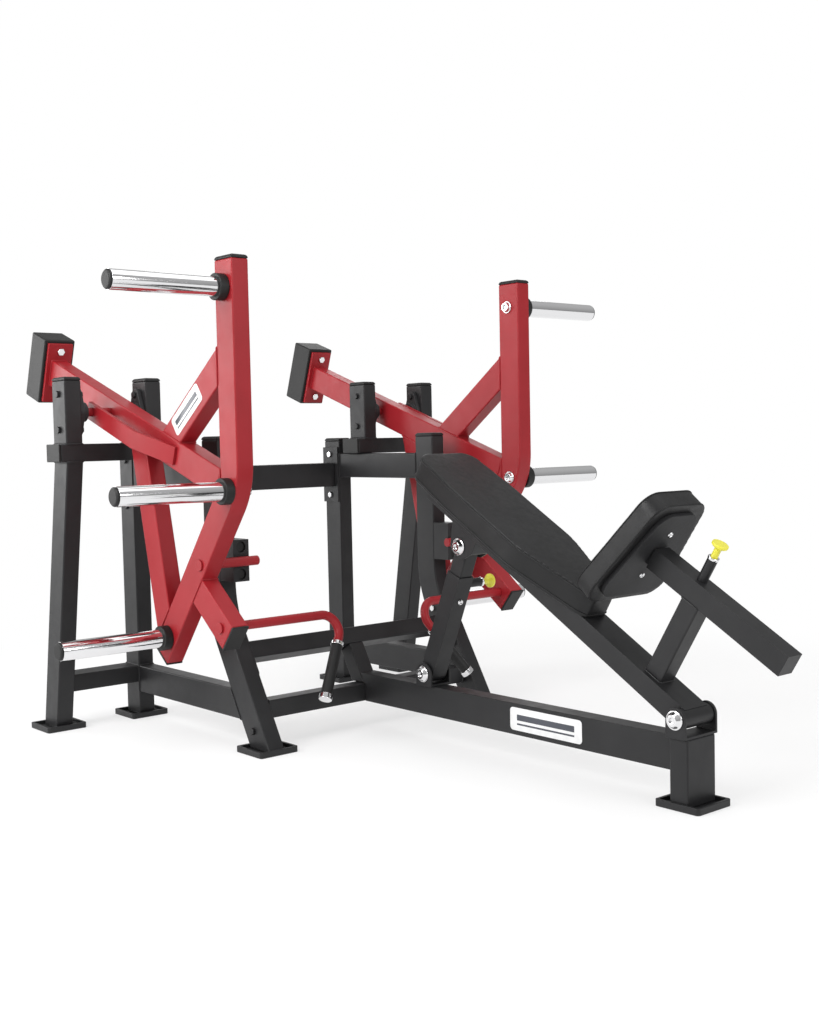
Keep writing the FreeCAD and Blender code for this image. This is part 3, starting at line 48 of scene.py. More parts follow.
# ------------------------------------------------------------------ camera, light, floor
# lengths are in metres and angles in degrees unless a name says otherwise
SENSOR_WIDTH_MM = 36.0
LENS_MM = 45.09
FAR_CLIP = 60.0
CAMERA_PLACE = (-2.2833, -2.6805, 0.8241)
VIEW_WAY = Vector((0.6481, 0.7594, -0.0570))
VIEW_RIGHT = Vector((0.7597, -0.6500, -0.0209))

# name, place, point aimed at, width, height, watts
LAMPS = (
    ("key", (-3.6, 0.2, 2.6), (0, 0.3, 0.6), 2.4, 2.0, 130),
    ("back_left", (-2.6, 4.3, 1.7), (-0.6, 0.7, 0.9), 2.2, 2.4, 66),
    ("left", (-4.6, 2.9, 0.95), (0, -0.5, 0.5), 2.6, 1.6, 30),
    ("top", (0.2, -0.4, 4.0), (0, 0, 0.4), 3.4, 3.4, 36),
    ("front", (0.4, -4.8, 2.4), (0, -0.2, 0.7), 2.8, 1.8, 92),
    ("rim", (2.8, 3.6, 2.4), (0, 0, 0.6), 2.4, 1.6, 30),
)

HORIZON_GREY = 0.30
SKY_GREY = 0.55
SKY_FROM = 0.85
PAPER_GREY = 0.93
FLOOR_HALF = 30.0
FLOOR_GAP = 0.0005
FADE_START = 1.1
FADE_END = 2.4
FADE_LEAST = 0.6


def grey(value):
    """An opaque neutral colour."""
    return (value, value, value, 1)


def set_camera():
    """The photograph's camera: position, turn and focal length solved from the machine."""
    data = bpy.data.cameras.new("camera")
    data.sensor_width = SENSOR_WIDTH_MM
    data.lens = LENS_MM
    data.clip_end = FAR_CLIP
    camera = bpy.data.objects.new("camera", data)
    scene.collection.objects.link(camera)
    forward = VIEW_WAY.normalized()
    right = (VIEW_RIGHT - forward * VIEW_RIGHT.dot(forward)).normalized()
    up = right.cross(forward)
    turn = Matrix((right, up, -forward)).transposed()
    camera.matrix_world = Matrix.Translation(CAMERA_PLACE) @ turn.to_4x4()
    scene.camera = camera


def area_light(name, place, aim, width, height, watts):
    """A soft white rectangular lamp aimed at a point."""
    data = bpy.data.lights.new(name, "AREA")
    data.shape = "RECTANGLE"
    data.size = width
    data.size_y = height
    data.energy = watts
    lamp = bpy.data.objects.new(name, data)
    scene.collection.objects.link(lamp)
    lamp.location = place
    lamp.rotation_euler = (Vector(aim) - Vector(place)).to_track_quat("-Z", "Y").to_euler()


def set_world():
    """White to the camera, and a soft sky, darker towards the horizon, to everything else."""
    world = bpy.data.worlds.new("studio")
    scene.world = world
    world.use_nodes = True
    nodes = world.node_tree.nodes
    links = world.node_tree.links
    background = nodes["Background"]
    coords = nodes.new("ShaderNodeTexCoord")
    split = nodes.new("ShaderNodeSeparateXYZ")
    ramp = nodes.new("ShaderNodeValToRGB")
    ramp.color_ramp.elements[0].position = 0.0
    ramp.color_ramp.elements[0].color = grey(HORIZON_GREY)
    ramp.color_ramp.elements[1].position = SKY_FROM
    ramp.color_ramp.elements[1].color = grey(SKY_GREY)
    path = nodes.new("ShaderNodeLightPath")
    mix = nodes.new("ShaderNodeMix")
    mix.data_type = "RGBA"
    mix.inputs["B"].default_value = grey(1.0)
    links.new(coords.outputs["Generated"], split.inputs["Vector"])
    links.new(split.outputs["Z"], ramp.inputs["Fac"])
    links.new(ramp.outputs["Color"], mix.inputs["A"])
    links.new(path.outputs["Is Camera Ray"], mix.inputs["Factor"])
    links.new(mix.outputs["Result"], background.inputs["Color"])
    background.inputs["Strength"].default_value = 1.0


def floor_material():
    """White paper that turns to plain white light away from the machine."""
    material = new_material("floor_paper", (PAPER_GREY, PAPER_GREY, PAPER_GREY), 0.85, specular=0.2)
    nodes = material.node_tree.nodes
    links = material.node_tree.links
    coords = nodes.new("ShaderNodeTexCoord")
    length = nodes.new("ShaderNodeVectorMath")
    length.operation = "LENGTH"
    fade = nodes.new("ShaderNodeMapRange")
    fade.interpolation_type = "SMOOTHSTEP"
    fade.inputs["From Min"].default_value = FADE_START
    fade.inputs["From Max"].default_value = FADE_END
    fade.inputs["To Min"].default_value = FADE_LEAST
    glow = nodes.new("ShaderNodeEmission")
    glow.inputs["Color"].default_value = grey(1.0)
    mix = nodes.new("ShaderNodeMixShader")
    links.new(coords.outputs["Object"], length.inputs[0])
    links.new(length.outputs["Value"], fade.inputs["Value"])
    links.new(fade.outputs["Result"], mix.inputs["Fac"])
    links.new(nodes["Principled BSDF"].outputs["BSDF"], mix.inputs[1])
    links.new(glow.outputs["Emission"], mix.inputs[2])
    links.new(mix.outputs["Shader"], nodes["Material Output"].inputs["Surface"])
    return material


def set_studio():
    """Soft lamps round the machine and a pale floor."""
    set_world()
    for lamp in LAMPS:
        area_light(*lamp)
    mesh = bpy.data.meshes.new("floor")
    form = bmesh.new()
    bmesh.ops.create_grid(form, x_segments=2, y_segments=2, size=FLOOR_HALF)
    form.to_mesh(mesh)
    form.free()
    floor = bpy.data.objects.new("floor", mesh)
    scene.collection.objects.link(floor)
    floor.location = (0, 0, -FLOOR_GAP)
    mesh.materials.append(floor_material())
    scene.view_settings.view_transform = "Standard"
    scene.view_settings.look = "None"


# ------------------------------------------------------------------ materials
def new_material(name, colour, roughness, metallic=0.0, coat=0.0, specular=0.5):
    """A principled material with plain starting values."""
    material = bpy.data.materials.new(name)
    material.use_nodes = True
    shader = material.node_tree.nodes["Principled BSDF"]
    shader.inputs["Base Color"].default_value = (*colour, 1)
    shader.inputs["Roughness"].default_value = roughness
    shader.inputs["Metallic"].default_value = metallic
    shader.inputs["Coat Weight"].default_value = coat
    shader.inputs["Specular IOR Level"].default_value = specular
    return material


def noise(material, scale, detail, roughness=0.5, stretch=(1, 1, 1)):
    """A noise texture in the piece's own coordinates, in metres."""
    nodes = material.node_tree.nodes
    links = material.node_tree.links
    coords = nodes.new("ShaderNodeTexCoord")
    mapping = nodes.new("ShaderNodeMapping")
    mapping.inputs["Scale"].default_value = stretch
    texture = nodes.new("ShaderNodeTexNoise")
    texture.inputs["Scale"].default_value = scale
    texture.inputs["Detail"].default_value = detail
    texture.inputs["Roughness"].default_value = roughness
    links.new(coords.outputs["Object"], mapping.inputs["Vector"])
    links.new(mapping.outputs["Vector"], texture.inputs["Vector"])
    return texture.outputs["Fac"]


def spread(material, source, low, high, from_low=0.3, from_high=0.7):
    """Maps a span of a 0 to 1 value into a range."""
    node = material.node_tree.nodes.new("ShaderNodeMapRange")
    node.inputs["From Min"].default_value = from_low
    node.inputs["From Max"].default_value = from_high
    node.inputs["To Min"].default_value = low
    node.inputs["To Max"].default_value = high
    material.node_tree.links.new(source, node.inputs["Value"])
    return node.outputs["Result"]


def bump(material, heights, distance):
    """Adds one bump of these heights, on top of any bump already there."""
    nodes = material.node_tree.nodes
    links = material.node_tree.links
    shader = nodes["Principled BSDF"]
    node = nodes.new("ShaderNodeBump")
    node.inputs["Distance"].default_value = distance
    links.new(heights, node.inputs["Height"])
    if shader.inputs["Normal"].is_linked:
        links.new(shader.inputs["Normal"].links[0].from_socket, node.inputs["Normal"])
    links.new(node.outputs["Normal"], shader.inputs["Normal"])


def vary_colour(material, first, second, factor):
    """Colour between two tints by a factor socket."""
    nodes = material.node_tree.nodes
    mix = nodes.new("ShaderNodeMix")
    mix.data_type = "RGBA"
    mix.inputs["A"].default_value = (*first, 1)
    mix.inputs["B"].default_value = (*second, 1)
    material.node_tree.links.new(factor, mix.inputs["Factor"])
    material.node_tree.links.new(mix.outputs["Result"], nodes["Principled BSDF"].inputs["Base Color"])


def powder_coat(name, dark, light, roughness, specular):
    """Baked powder paint: fine orange peel, faint tone and gloss variation."""
    material = new_material(name, dark, roughness, specular=specular)
    links = material.node_tree.links
    shader = material.node_tree.nodes["Principled BSDF"]
    tone = spread(material, noise(material, scale=9.0, detail=4.0), 0.0, 1.0)
    vary_colour(material, dark, light, tone)
    gloss = spread(material, noise(material, scale=30.0, detail=4.0), roughness - 0.04, roughness + 0.05)
    links.new(gloss, shader.inputs["Roughness"])
    bump(material, noise(material, scale=420.0, detail=2.0), distance=0.00005)
    return material


def chrome():
    """Bright plating with hair-fine polishing marks round the bar."""
    material = new_material("chrome", (0.80, 0.80, 0.81), 0.07, metallic=1.0)
    shader = material.node_tree.nodes["Principled BSDF"]
    marks = noise(material, scale=160.0, detail=3.0, stretch=(6.0, 0.4, 0.4))
    material.node_tree.links.new(spread(material, marks, 0.05, 0.11), shader.inputs["Roughness"])
    bump(material, noise(material, scale=35.0, detail=2.0), distance=0.00002)
    return material


def rubber(name, colour, roughness, grain=300.0, depth=0.0002):
    """Matt moulded rubber or cast skin with a fine grain."""
    material = new_material(name, colour, roughness, specular=0.3)
    lighter = tuple(channel * 1.5 for channel in colour)
    tone = spread(material, noise(material, scale=14.0, detail=5.0), 0.0, 1.0)
    vary_colour(material, colour, lighter, tone)
    bump(material, noise(material, scale=grain, detail=4.0, roughness=0.6), distance=depth)
    return material


def vinyl():
    """Black upholstery vinyl: pebbled grain, soft creases and a low sheen."""
    material = new_material("vinyl", (0.010, 0.010, 0.011), 0.42, specular=0.30)
    nodes = material.node_tree.nodes
    links = material.node_tree.links
    tone = spread(material, noise(material, scale=18.0, detail=4.0), 0.0, 1.0)
    vary_colour(material, (0.008, 0.008, 0.0085), (0.012, 0.012, 0.0125), tone)
    coords = nodes.new("ShaderNodeTexCoord")
    cells = nodes.new("ShaderNodeTexVoronoi")
    cells.feature = "DISTANCE_TO_EDGE"
    cells.inputs["Scale"].default_value = 420.0
    links.new(coords.outputs["Object"], cells.inputs["Vector"])
    pebbles = spread(material, cells.outputs["Distance"], 0.0, 1.0, from_low=0.0, from_high=0.25)
    bump(material, pebbles, distance=0.00005)
    bump(material, noise(material, scale=26.0, detail=3.0), distance=0.00012)
    gloss = spread(material, noise(material, scale=60.0, detail=3.0), 0.38, 0.50)
    links.new(gloss, nodes["Principled BSDF"].inputs["Roughness"])
    return material


def plastic(name, colour, roughness):
    """Moulded plastic with a slight mottle."""
    material = new_material(name, colour, roughness, coat=0.3)
    duller = tuple(channel * 0.88 for channel in colour)
    tone = spread(material, noise(material, scale=40.0, detail=3.0), 0.0, 1.0)
    vary_colour(material, colour, duller, tone)
    bump(material, noise(material, scale=220.0, detail=2.0), distance=0.00008)
    return material


set_studio()
set_camera()

MATERIALS = {
    "black_paint": powder_coat("black_paint", (0.014, 0.014, 0.015), (0.020, 0.020, 0.021), 0.42, 0.30),
    "red_paint": powder_coat("red_paint", (0.285, 0.0115, 0.016), (0.33, 0.0145, 0.021), 0.40, 0.30),
    "chrome": chrome(),
    "rubber": rubber("rubber", (0.009, 0.009, 0.009), 0.50),
    "vinyl": vinyl(),
    "board": rubber("board", (0.014, 0.014, 0.015), 0.6, grain=120.0, depth=0.0004),
    "yellow_plastic": plastic("yellow_plastic", (0.80, 0.74, 0.05), 0.32),
    "cast_iron": rubber("cast_iron", (0.02, 0.02, 0.021), 0.5, grain=160.0, depth=0.0005),
}


# ------------------------------------------------------------------ CAD nodes
EDGE_SIZES = {"black_paint": 0.004, "red_paint": 0.004, "chrome": 0.0012, "rubber": 0.002,
              "cast_iron": 0.002, "yellow_plastic": 0.002, "board": 0.0015, "vinyl": 0.002}
THIN_NODES = ("flange_plates", "saddle_brackets", "strut_bracket", "black_bolts", "outrigger",
              "round_bars", "hub_shaft", "weight_plate", "seat_slider", "foot_plates")
THIN_EDGE = 0.0012
ROUND_NODES = {"frame_caps": 0.004, "rubber_trim": 0.003, "counterweight": 0.005}
MERGE_DISTANCE = 0.00002
FLAT_ANGLE = 0.6
EDGE_ANGLE = 40
EDGE_SEGMENTS = 3
FLAT_WEIGHT = 90


def soften(obj, width):
    """Rounded edges and shading that keeps the flats flat."""
    mesh = obj.data
    for name in ("custom_normal", "sharp_face"):
        if name in mesh.attributes:
            mesh.attributes.remove(mesh.attributes[name])
    mesh.shade_smooth()
    merge = obj.modifiers.new("weld", "WELD")
    merge.merge_threshold = MERGE_DISTANCE
    flats = obj.modifiers.new("flats", "DECIMATE")
    flats.decimate_type = "DISSOLVE"
    flats.angle_limit = math.radians(FLAT_ANGLE)
    bevel = obj.modifiers.new("edges", "BEVEL")
    bevel.width = width
    bevel.segments = EDGE_SEGMENTS
    bevel.limit_method = "ANGLE"
    bevel.angle_limit = math.radians(EDGE_ANGLE)
    bevel.use_clamp_overlap = True
    normals = obj.modifiers.new("normals", "WEIGHTED_NORMAL")
    normals.mode = "FACE_AREA_WITH_ANGLE"
    normals.weight = FLAT_WEIGHT
    normals.keep_sharp = False


def finish_node(name, slot):
    """Material and softened edges for one carried-over CAD node."""
    obj = NODES[name]
    obj.data.materials.clear()
    obj.data.materials.append(MATERIALS[slot])
    width = EDGE_SIZES[slot]
    if any(word in name for word in THIN_NODES):
        width = THIN_EDGE
    for word, rounder in ROUND_NODES.items():
        if word in name:
            width = rounder
    soften(obj, width)


for part in frame["record"]["subparts"]:
    finish_node(part["node"], part["material_slot"])


# ------------------------------------------------------------------ places on the machine
def turned(degrees):
    """Unit vectors along and square to a line that rises this much above +Y."""
    angle = math.radians(degrees)
    return Vector((0, math.cos(angle), math.sin(angle))), Vector((0, -math.sin(angle), math.cos(angle)))


ACROSS = Vector((1, 0, 0))
ALONG = Vector((0, 1, 0))
UP = Vector((0, 0, 1))

# half sections of the 50 by 80 mm tube; the square tube is twice HALF_THIN both ways
HALF_THIN = 0.025
HALF_DEEP = 0.040

# bench: its hinge, and places along (u) and out from (n) the rail's middle line
HINGE = Vector((0, -0.9487, 0.200))
BENCH_UP, BENCH_OUT = turned(31.0)
SEAT_DOWN, SEAT_OUT = turned(-49.37)
SEAT_BASE = HINGE + BENCH_UP * 0.262 + BENCH_OUT * 0.2515
BOARD_SCREW_DROPS = (-0.064, 0.061)
SEAT_PIN_U = 0.129
SEAT_PIN_N = 0.3315
SEAT_POST_U = 0.1165
SEAT_POST_ENDS_N = (0.025, 0.2265)

# strut: its foot, and places along it
STRUT_FOOT = Vector((0, -0.0907, 0.190))
STRUT_BACK, STRUT_UP = turned(22.924)
STRUT_PIN_REACH = 0.2685
STRUT_PIN_X = 0.080
SET_SCREW_REACH = 0.229

# levers: pivot line, the slope of each tube and a point of each, counted from the pivot
PIVOT = Vector((0, 0.7013, 0.919))
LEVER_X = 0.502
PLUMB_SLOPE = 90.0
MAIN_SLOPE = 19.2
BRACE_SLOPE = -36.0
ARM_SLOPE = -51.7
PROP_SLOPE = 77.2
ARM_REACH = 0.584
BRACE_DROP = 0.2638
PROP_CORNER = Vector((0, -0.122, -0.106))
ARM_BEND = Vector((0, -0.624, -0.2045))
BRACKET_REACH = 0.3261
TAIL_REACH = 0.400
LABEL_SPOT_Y = 0.2720
LABEL_SPOT_Z = 0.9125

# frame: faces and middle lines of its tubes
LEG_SLOPE = 59.5
SPINE_FRONT_Y = -0.9257
BASE_Z = 0.117
SIDE_X = 0.390
UPRIGHT_FACE_Y = 0.3888
REAR_FACE_Y = 0.7843
LEG_FACE_Y = 0.2509
TOP_BEAM_Z = 0.739
SADDLE_TOP_Z = 0.829
SADDLE_UNDER_Z = 0.779
POST_X = (0.406, 0.658)
REAR_BRACE_X = (0.415, 0.633)
REAR_BRACE_Y = 0.8243
REAR_BRACE_Z = 0.132
LOW_BEAM_END = (0.355, 0.2033, 0.102)


def frame_at(origin, first, second):
    """A placement whose x and y axes run along two square directions."""
    third = first.cross(second)
    turn = Matrix((first, second, third)).transposed()
    return Matrix.Translation(origin) @ turn.to_4x4()


def piece(name, form, slot, body, placement=None, material=None):
    """A finished mesh piece that rides on a body."""
    mesh = bpy.data.meshes.new(name)
    bmesh.ops.recalc_face_normals(form, faces=form.faces)
    form.to_mesh(mesh)
    form.free()
    mesh.shade_smooth()
    obj = bpy.data.objects.new(name, mesh)
    scene.collection.objects.link(obj)
    if placement is not None:
        obj.matrix_world = placement
    mesh.materials.append(material or MATERIALS[slot])
    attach(obj, body)


def ring_of(form, centre, first, second, radius, sides):
    """One ring of vertices about a centre."""
    ring = []
    for step in range(sides):
        angle = 2 * math.pi * step / sides
        ring.append(form.verts.new(centre + (first * math.cos(angle) + second * math.sin(angle)) * radius))
    return ring


def bridge(form, one, other):
    """Faces between two rings."""
    count = len(one)
    for step in range(count):
        after = (step + 1) % count
        form.faces.new((one[step], one[after], other[after], other[step]))


def closed_tube(form, points, normal, radius, sides=8):
    """A thin closed tube that follows a loop; the loop lies square to its normal."""
    rings = []
    count = len(points)
    for index, point in enumerate(points):
        tangent = (points[(index + 1) % count] - points[index - 1]).normalized()
        rings.append(ring_of(form, point, normal, tangent.cross(normal).normalized(), radius, sides))
    for index in range(count):
        bridge(form, rings[index - 1], rings[index])


def lathe(form, origin, axis, profile, sides=40):
    """A closed turned shape from points (distance along the axis, radius)."""
    first = axis.orthogonal().normalized()
    second = axis.cross(first)
    rings = [ring_of(form, origin + axis * reach, first, second, radius, sides) for reach, radius in profile]
    for before, after in zip(rings, rings[1:] + rings[:1]):
        bridge(form, before, after)


def rounded_loop(centre, first, second, half_first, half_second, corner, steps=5):
    """Points round a rectangle with rounded corners."""
    points = []
    for quarter, (a, b) in enumerate(((1, 1), (-1, 1), (-1, -1), (1, -1))):
        for step in range(steps + 1):
            angle = math.pi / 2 * (quarter + step / steps)
            reach = a * (half_first - corner) + corner * math.cos(angle)
            rise = b * (half_second - corner) + corner * math.sin(angle)
            points.append(centre + first * reach + second * rise)
    return points


# ------------------------------------------------------------------ pads
HELD_HEIGHT = 0.008
CLOTH_FRAMES = 20
CLOTH_QUALITY = 5
CLOTH_PRESSURE = 4.0
COVER_STRETCH = 30
COVER_BEND = 4
RELAX_STEPS = 14
SEAM_LIFT = 0.2
PAD_SMOOTHING = 0.5


def local_mesh(source, axes):
    """The vertices of a CAD solid in a pad's own axes: across, along and outward."""
    mesh = bpy.data.meshes.new("pad_form")
    form = bmesh.new()
    form.from_mesh(source.data)
    bmesh.ops.remove_doubles(form, verts=form.verts, dist=MERGE_DISTANCE)
    for vertex in form.verts:
        vertex.co = Vector([vertex.co.dot(axis) for axis in axes])
    form.to_mesh(mesh)
    form.free()
    return mesh


def relax(pad, steps, shifts):
    """Evens out a field of shifts over neighbouring vertices."""
    neighbours = [[] for _ in pad.data.vertices]
    for edge in pad.data.edges:
        first, second = edge.vertices
        neighbours[first].append(second)
        neighbours[second].append(first)
    for _ in range(steps):
        shifts = [
            (shift + sum((shifts[other] for other in near), Vector())) / (len(near) + 1)
            for shift, near in zip(shifts, neighbours)
        ]
    return shifts


def stuff(pad, cap):
    """Swells the cover by cloth pressure from its held base; the largest shift is the cap."""
    rest = [vertex.co.copy() for vertex in pad.data.vertices]
    base = min(co.z for co in rest)
    held = pad.vertex_groups.new(name="held")
    held.add([index for index, co in enumerate(rest) if co.z < base + HELD_HEIGHT], 1.0, "REPLACE")
    cloth = pad.modifiers.new("cloth", "CLOTH")
    settings = cloth.settings
    settings.quality = CLOTH_QUALITY
    settings.use_pressure = True
    settings.uniform_pressure_force = CLOTH_PRESSURE
    settings.vertex_group_mass = "held"
    settings.effector_weights.gravity = 0.0
    settings.tension_stiffness = COVER_STRETCH
    settings.compression_stiffness = COVER_STRETCH
    settings.bending_stiffness = COVER_BEND
    for step in range(1, CLOTH_FRAMES + 1):
        scene.frame_set(step)
    bpy.ops.object.modifier_apply(modifier="cloth")
    scene.frame_set(1)
    shifts = [vertex.co - start for vertex, start in zip(pad.data.vertices, rest)]
    shifts = relax(pad, RELAX_STEPS, shifts)
    longest = max(shift.length for shift in shifts)
    for vertex, start, shift in zip(pad.data.vertices, rest, shifts):
        vertex.co = start + shift * (cap / max(longest, cap))


def seam_points(pad, height, lift, count=220):
    """A loop round the pad's side at one height above its base, just outside the cover."""
    tree = BVHTree.FromPolygons([vertex.co for vertex in pad.data.vertices],
                                [polygon.vertices for polygon in pad.data.polygons])
    low = Vector([min(vertex.co[axis] for vertex in pad.data.vertices) for axis in range(3)])
    high = Vector([max(vertex.co[axis] for vertex in pad.data.vertices) for axis in range(3)])
    middle = (low + high) / 2
    half = (high - low) / 2
    points = []
    for step in range(count):
        angle = 2 * math.pi * step / count
        start = Vector((middle.x + 2 * half.x * math.cos(angle), middle.y + 2 * half.y * math.sin(angle),
                        low.z + height))
        aim = Vector((middle.x, middle.y, low.z + height)) - start
        spot, normal, _, _ = tree.ray_cast(start, aim.normalized())
        points.append(spot + normal * lift)
    return points


def upholster(node, name, body, axes, cap, rounds, voxel, seams):
    """A stuffed cover for one soft CAD solid, with raised seams (height, radius) round its side."""
    pad = bpy.data.objects.new(name, local_mesh(NODES[node], axes))
    scene.collection.objects.link(pad)
    bpy.context.view_layer.objects.active = pad
    for other in bpy.context.selected_objects:
        other.select_set(False)
    pad.select_set(True)
    pad.data.remesh_voxel_size = voxel
    bpy.ops.object.voxel_remesh()
    smooth = pad.modifiers.new("round", "SMOOTH")
    smooth.factor = PAD_SMOOTHING
    smooth.iterations = rounds
    bpy.ops.object.modifier_apply(modifier="round")
    stuff(pad, cap)
    turn = Matrix(axes).transposed().to_4x4()
    for index, (height, radius) in enumerate(seams, start=1):
        form = bmesh.new()
        points = seam_points(pad, height, radius * SEAM_LIFT)
        closed_tube(form, points, UP, radius)
        piece("%s_seam_%d" % (name, index), form, "vinyl", body, turn)
    fine = pad.modifiers.new("fine", "SUBSURF")
    fine.levels = 1
    fine.render_levels = 1
    pad.data.shade_smooth()
    pad.data.materials.clear()
    pad.data.materials.append(MATERIALS["vinyl"])
    pad.matrix_world = turn
    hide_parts(node)
    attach(pad, body)


upholster("long_pad", "chest_pad", "bench", (ACROSS, BENCH_UP, BENCH_OUT),
          cap=0.0045, rounds=2, voxel=0.005, seams=((0.009, 0.0016), (0.0585, 0.0021)))
upholster("seat_pad", "seat_cushion", "seat", (ACROSS, SEAT_DOWN, SEAT_OUT),
          cap=0.0035, rounds=1, voxel=0.004, seams=((0.003, 0.0012), (0.046, 0.0014)))


# ------------------------------------------------------------------ small bright pieces
# points (distance along the axis, radius) of the ring at the end of a pin's housing
RING_BORE = 0.0086
RING_HEIGHT = 0.0070
RING_PROFILE = ((0.0, RING_BORE), (0.0, 0.0122), (0.0012, 0.0130), (0.0058, 0.0130),
                (RING_HEIGHT, 0.0120), (RING_HEIGHT, RING_BORE))

# shares (of the height, of the radius) round a domed head and down the wall of its socket
SCREW_DOME = ((0.0, 1.0), (0.55, 0.92), (0.9, 0.68), (1.0, 0.45), (0.9, 0.38), (0.35, 0.34))
SOCKET_FLOOR = 0.3
SOCKET_CENTRE = 0.0004
SCREW_SINK = -0.001


def button_screw(form, origin, axis, radius, height):
    """A domed screw head with a round socket."""
    profile = [(SCREW_SINK, radius)]
    profile += [(height * rise, radius * width) for rise, width in SCREW_DOME]
    profile += [(height * SOCKET_FLOOR, SOCKET_CENTRE), (SCREW_SINK, SOCKET_CENTRE)]
    lathe(form, origin, axis, profile)


def build_small_pieces():
    """Rings on the two pull-pin housings, the strut's set screw and the board's screws."""
    form = bmesh.new()
    lathe(form, STRUT_FOOT + STRUT_UP * STRUT_PIN_REACH + ACROSS * STRUT_PIN_X, ACROSS, RING_PROFILE)
    piece("strut_pin_ring", form, "chrome", "strut_outer")
    form = bmesh.new()
    lathe(form, HINGE + BENCH_UP * SEAT_PIN_U + BENCH_OUT * SEAT_PIN_N, BENCH_OUT, RING_PROFILE)
    piece("seat_pin_ring", form, "chrome", "bench")
    form = bmesh.new()
    screw_place = STRUT_FOOT + STRUT_UP * SET_SCREW_REACH - STRUT_BACK * HALF_THIN
    button_screw(form, screw_place, -STRUT_BACK, radius=0.0085, height=0.006)
    piece("strut_set_screw", form, "chrome", "strut_outer")
    form = bmesh.new()
    for drop in BOARD_SCREW_DROPS:
        button_screw(form, SEAT_BASE + SEAT_DOWN * drop, -SEAT_OUT, radius=0.0075, height=0.004)
    piece("seat_board_screws", form, "chrome", "seat")


build_small_pieces()


# ------------------------------------------------------------------ labels
SPINE_LABEL_HALVES = (0.120, 0.029)
LEVER_LABEL_HALVES = (0.0825, 0.027)
SPINE_LABEL_SPOT = Vector((-HALF_THIN, -0.5287, 0.118))
LABEL_CORNER = 0.010
LABEL_LEVELS = ((0.0, 0.0), (0.0005, 0.0), (0.0008, 0.0006))

# the printed bars, as shares of the label's half sizes: reach, and (middle, half height) of each
BAR_REACH = 0.80
WIDE_BAR = (0.16, 0.26)
THIN_BAR = (-0.42, 0.08)
INK = (0.045, 0.050, 0.065, 1)


def label_material(long_half, short_half):
    """Glossy white film printed with two plain grey bars."""
    material = plastic("label_film_%d" % round(long_half * 1000), (0.82, 0.82, 0.82), 0.28)
    nodes = material.node_tree.nodes
    links = material.node_tree.links
    coords = nodes.new("ShaderNodeTexCoord")
    split = nodes.new("ShaderNodeSeparateXYZ")
    links.new(coords.outputs["Object"], split.inputs["Vector"])

    def within(axis, centre, half):
        """1 inside a band across the label and 0 outside it."""
        node = nodes.new("ShaderNodeMath")
        node.operation = "COMPARE"
        node.inputs[1].default_value = centre
        node.inputs[2].default_value = half
        links.new(split.outputs[axis], node.inputs[0])
        return node.outputs["Value"]

    def both(first, second, operation):
        """Two values joined by one operation."""
        node = nodes.new("ShaderNodeMath")
        node.operation = operation
        links.new(first, node.inputs[0])
        links.new(second, node.inputs[1])
        return node.outputs["Value"]

    def bar(centre, half):
        """1 inside one bar and 0 outside it."""
        reach = within("X", 0.0, long_half * BAR_REACH)
        return both(reach, within("Y", short_half * centre, short_half * half), "MULTIPLY")

    printed = both(bar(*WIDE_BAR), bar(*THIN_BAR), "MAXIMUM")
    white = nodes["Principled BSDF"].inputs["Base Color"].links[0].from_socket
    mix = nodes.new("ShaderNodeMix")
    mix.data_type = "RGBA"
    mix.inputs["B"].default_value = INK
    links.new(printed, mix.inputs["Factor"])
    links.new(white, mix.inputs["A"])
    links.new(mix.outputs["Result"], nodes["Principled BSDF"].inputs["Base Color"])
    return material


def label(name, body, centre, long_way, short_way, halves, material):
    """A thin rounded film stuck on a flat face."""
    form = bmesh.new()
    loops = []
    for height, inset in LABEL_LEVELS:
        points = rounded_loop(UP * height, ACROSS, ALONG, halves[0] - inset, halves[1] - inset,
                              LABEL_CORNER - inset)
        loops.append([form.verts.new(point) for point in points])
    for low, high in zip(loops, loops[1:]):
        bridge(form, low, high)
    form.faces.new(loops[-1])
    form.faces.new(list(reversed(loops[0])))
    piece(name, form, None, body, frame_at(centre, long_way, short_way), material)


def build_labels():
    """Plain labels on the spine and on the outer face of each lever's diagonal brace."""
    film = label_material(*SPINE_LABEL_HALVES)
    label("spine_label", "frame", SPINE_LABEL_SPOT, -ALONG, UP, SPINE_LABEL_HALVES, film)
    film = label_material(*LEVER_LABEL_HALVES)
    brace_way, brace_up = turned(BRACE_SLOPE)
    for side, body in ((-1, "lever_left"), (1, "lever_right")):
        spot = Vector((side * (LEVER_X + HALF_THIN), LABEL_SPOT_Y, LABEL_SPOT_Z))
        label("%s_label" % body, body, spot, brace_way * side, brace_up, LEVER_LABEL_HALVES, film)


build_labels()


# ------------------------------------------------------------------ weld beads
BEAD_RADIUS = 0.0026
BEAD_GAP = 0.0004
BEAD_CORNER = 0.005


def weld(form, centre, first, second, half_first, half_second):
    """One bead round the end of a tube."""
    points = rounded_loop(centre, first, second, half_first + BEAD_GAP, half_second + BEAD_GAP, BEAD_CORNER)
    closed_tube(form, points, first.cross(second).normalized(), BEAD_RADIUS)


def slanted_half(slope, face_slope):
    """Half the slanting cut of a deep tube against a face, to a tenth of a millimetre."""
    return round(HALF_DEEP / abs(math.sin(math.radians(slope - face_slope))), 4)


def weld_slanted(form, start, slope, face_start, face_slope):
    """One bead where a deep tube that follows a line runs into a sloping face."""
    line = turned(slope)[0]
    face = turned(face_slope)[0]
    gap = face_start - start
    reach = (gap.y * face.z - gap.z * face.y) / (line.y * face.z - line.z * face.y)
    weld(form, start + line * reach, ACROSS, face, HALF_THIN, slanted_half(slope, face_slope))


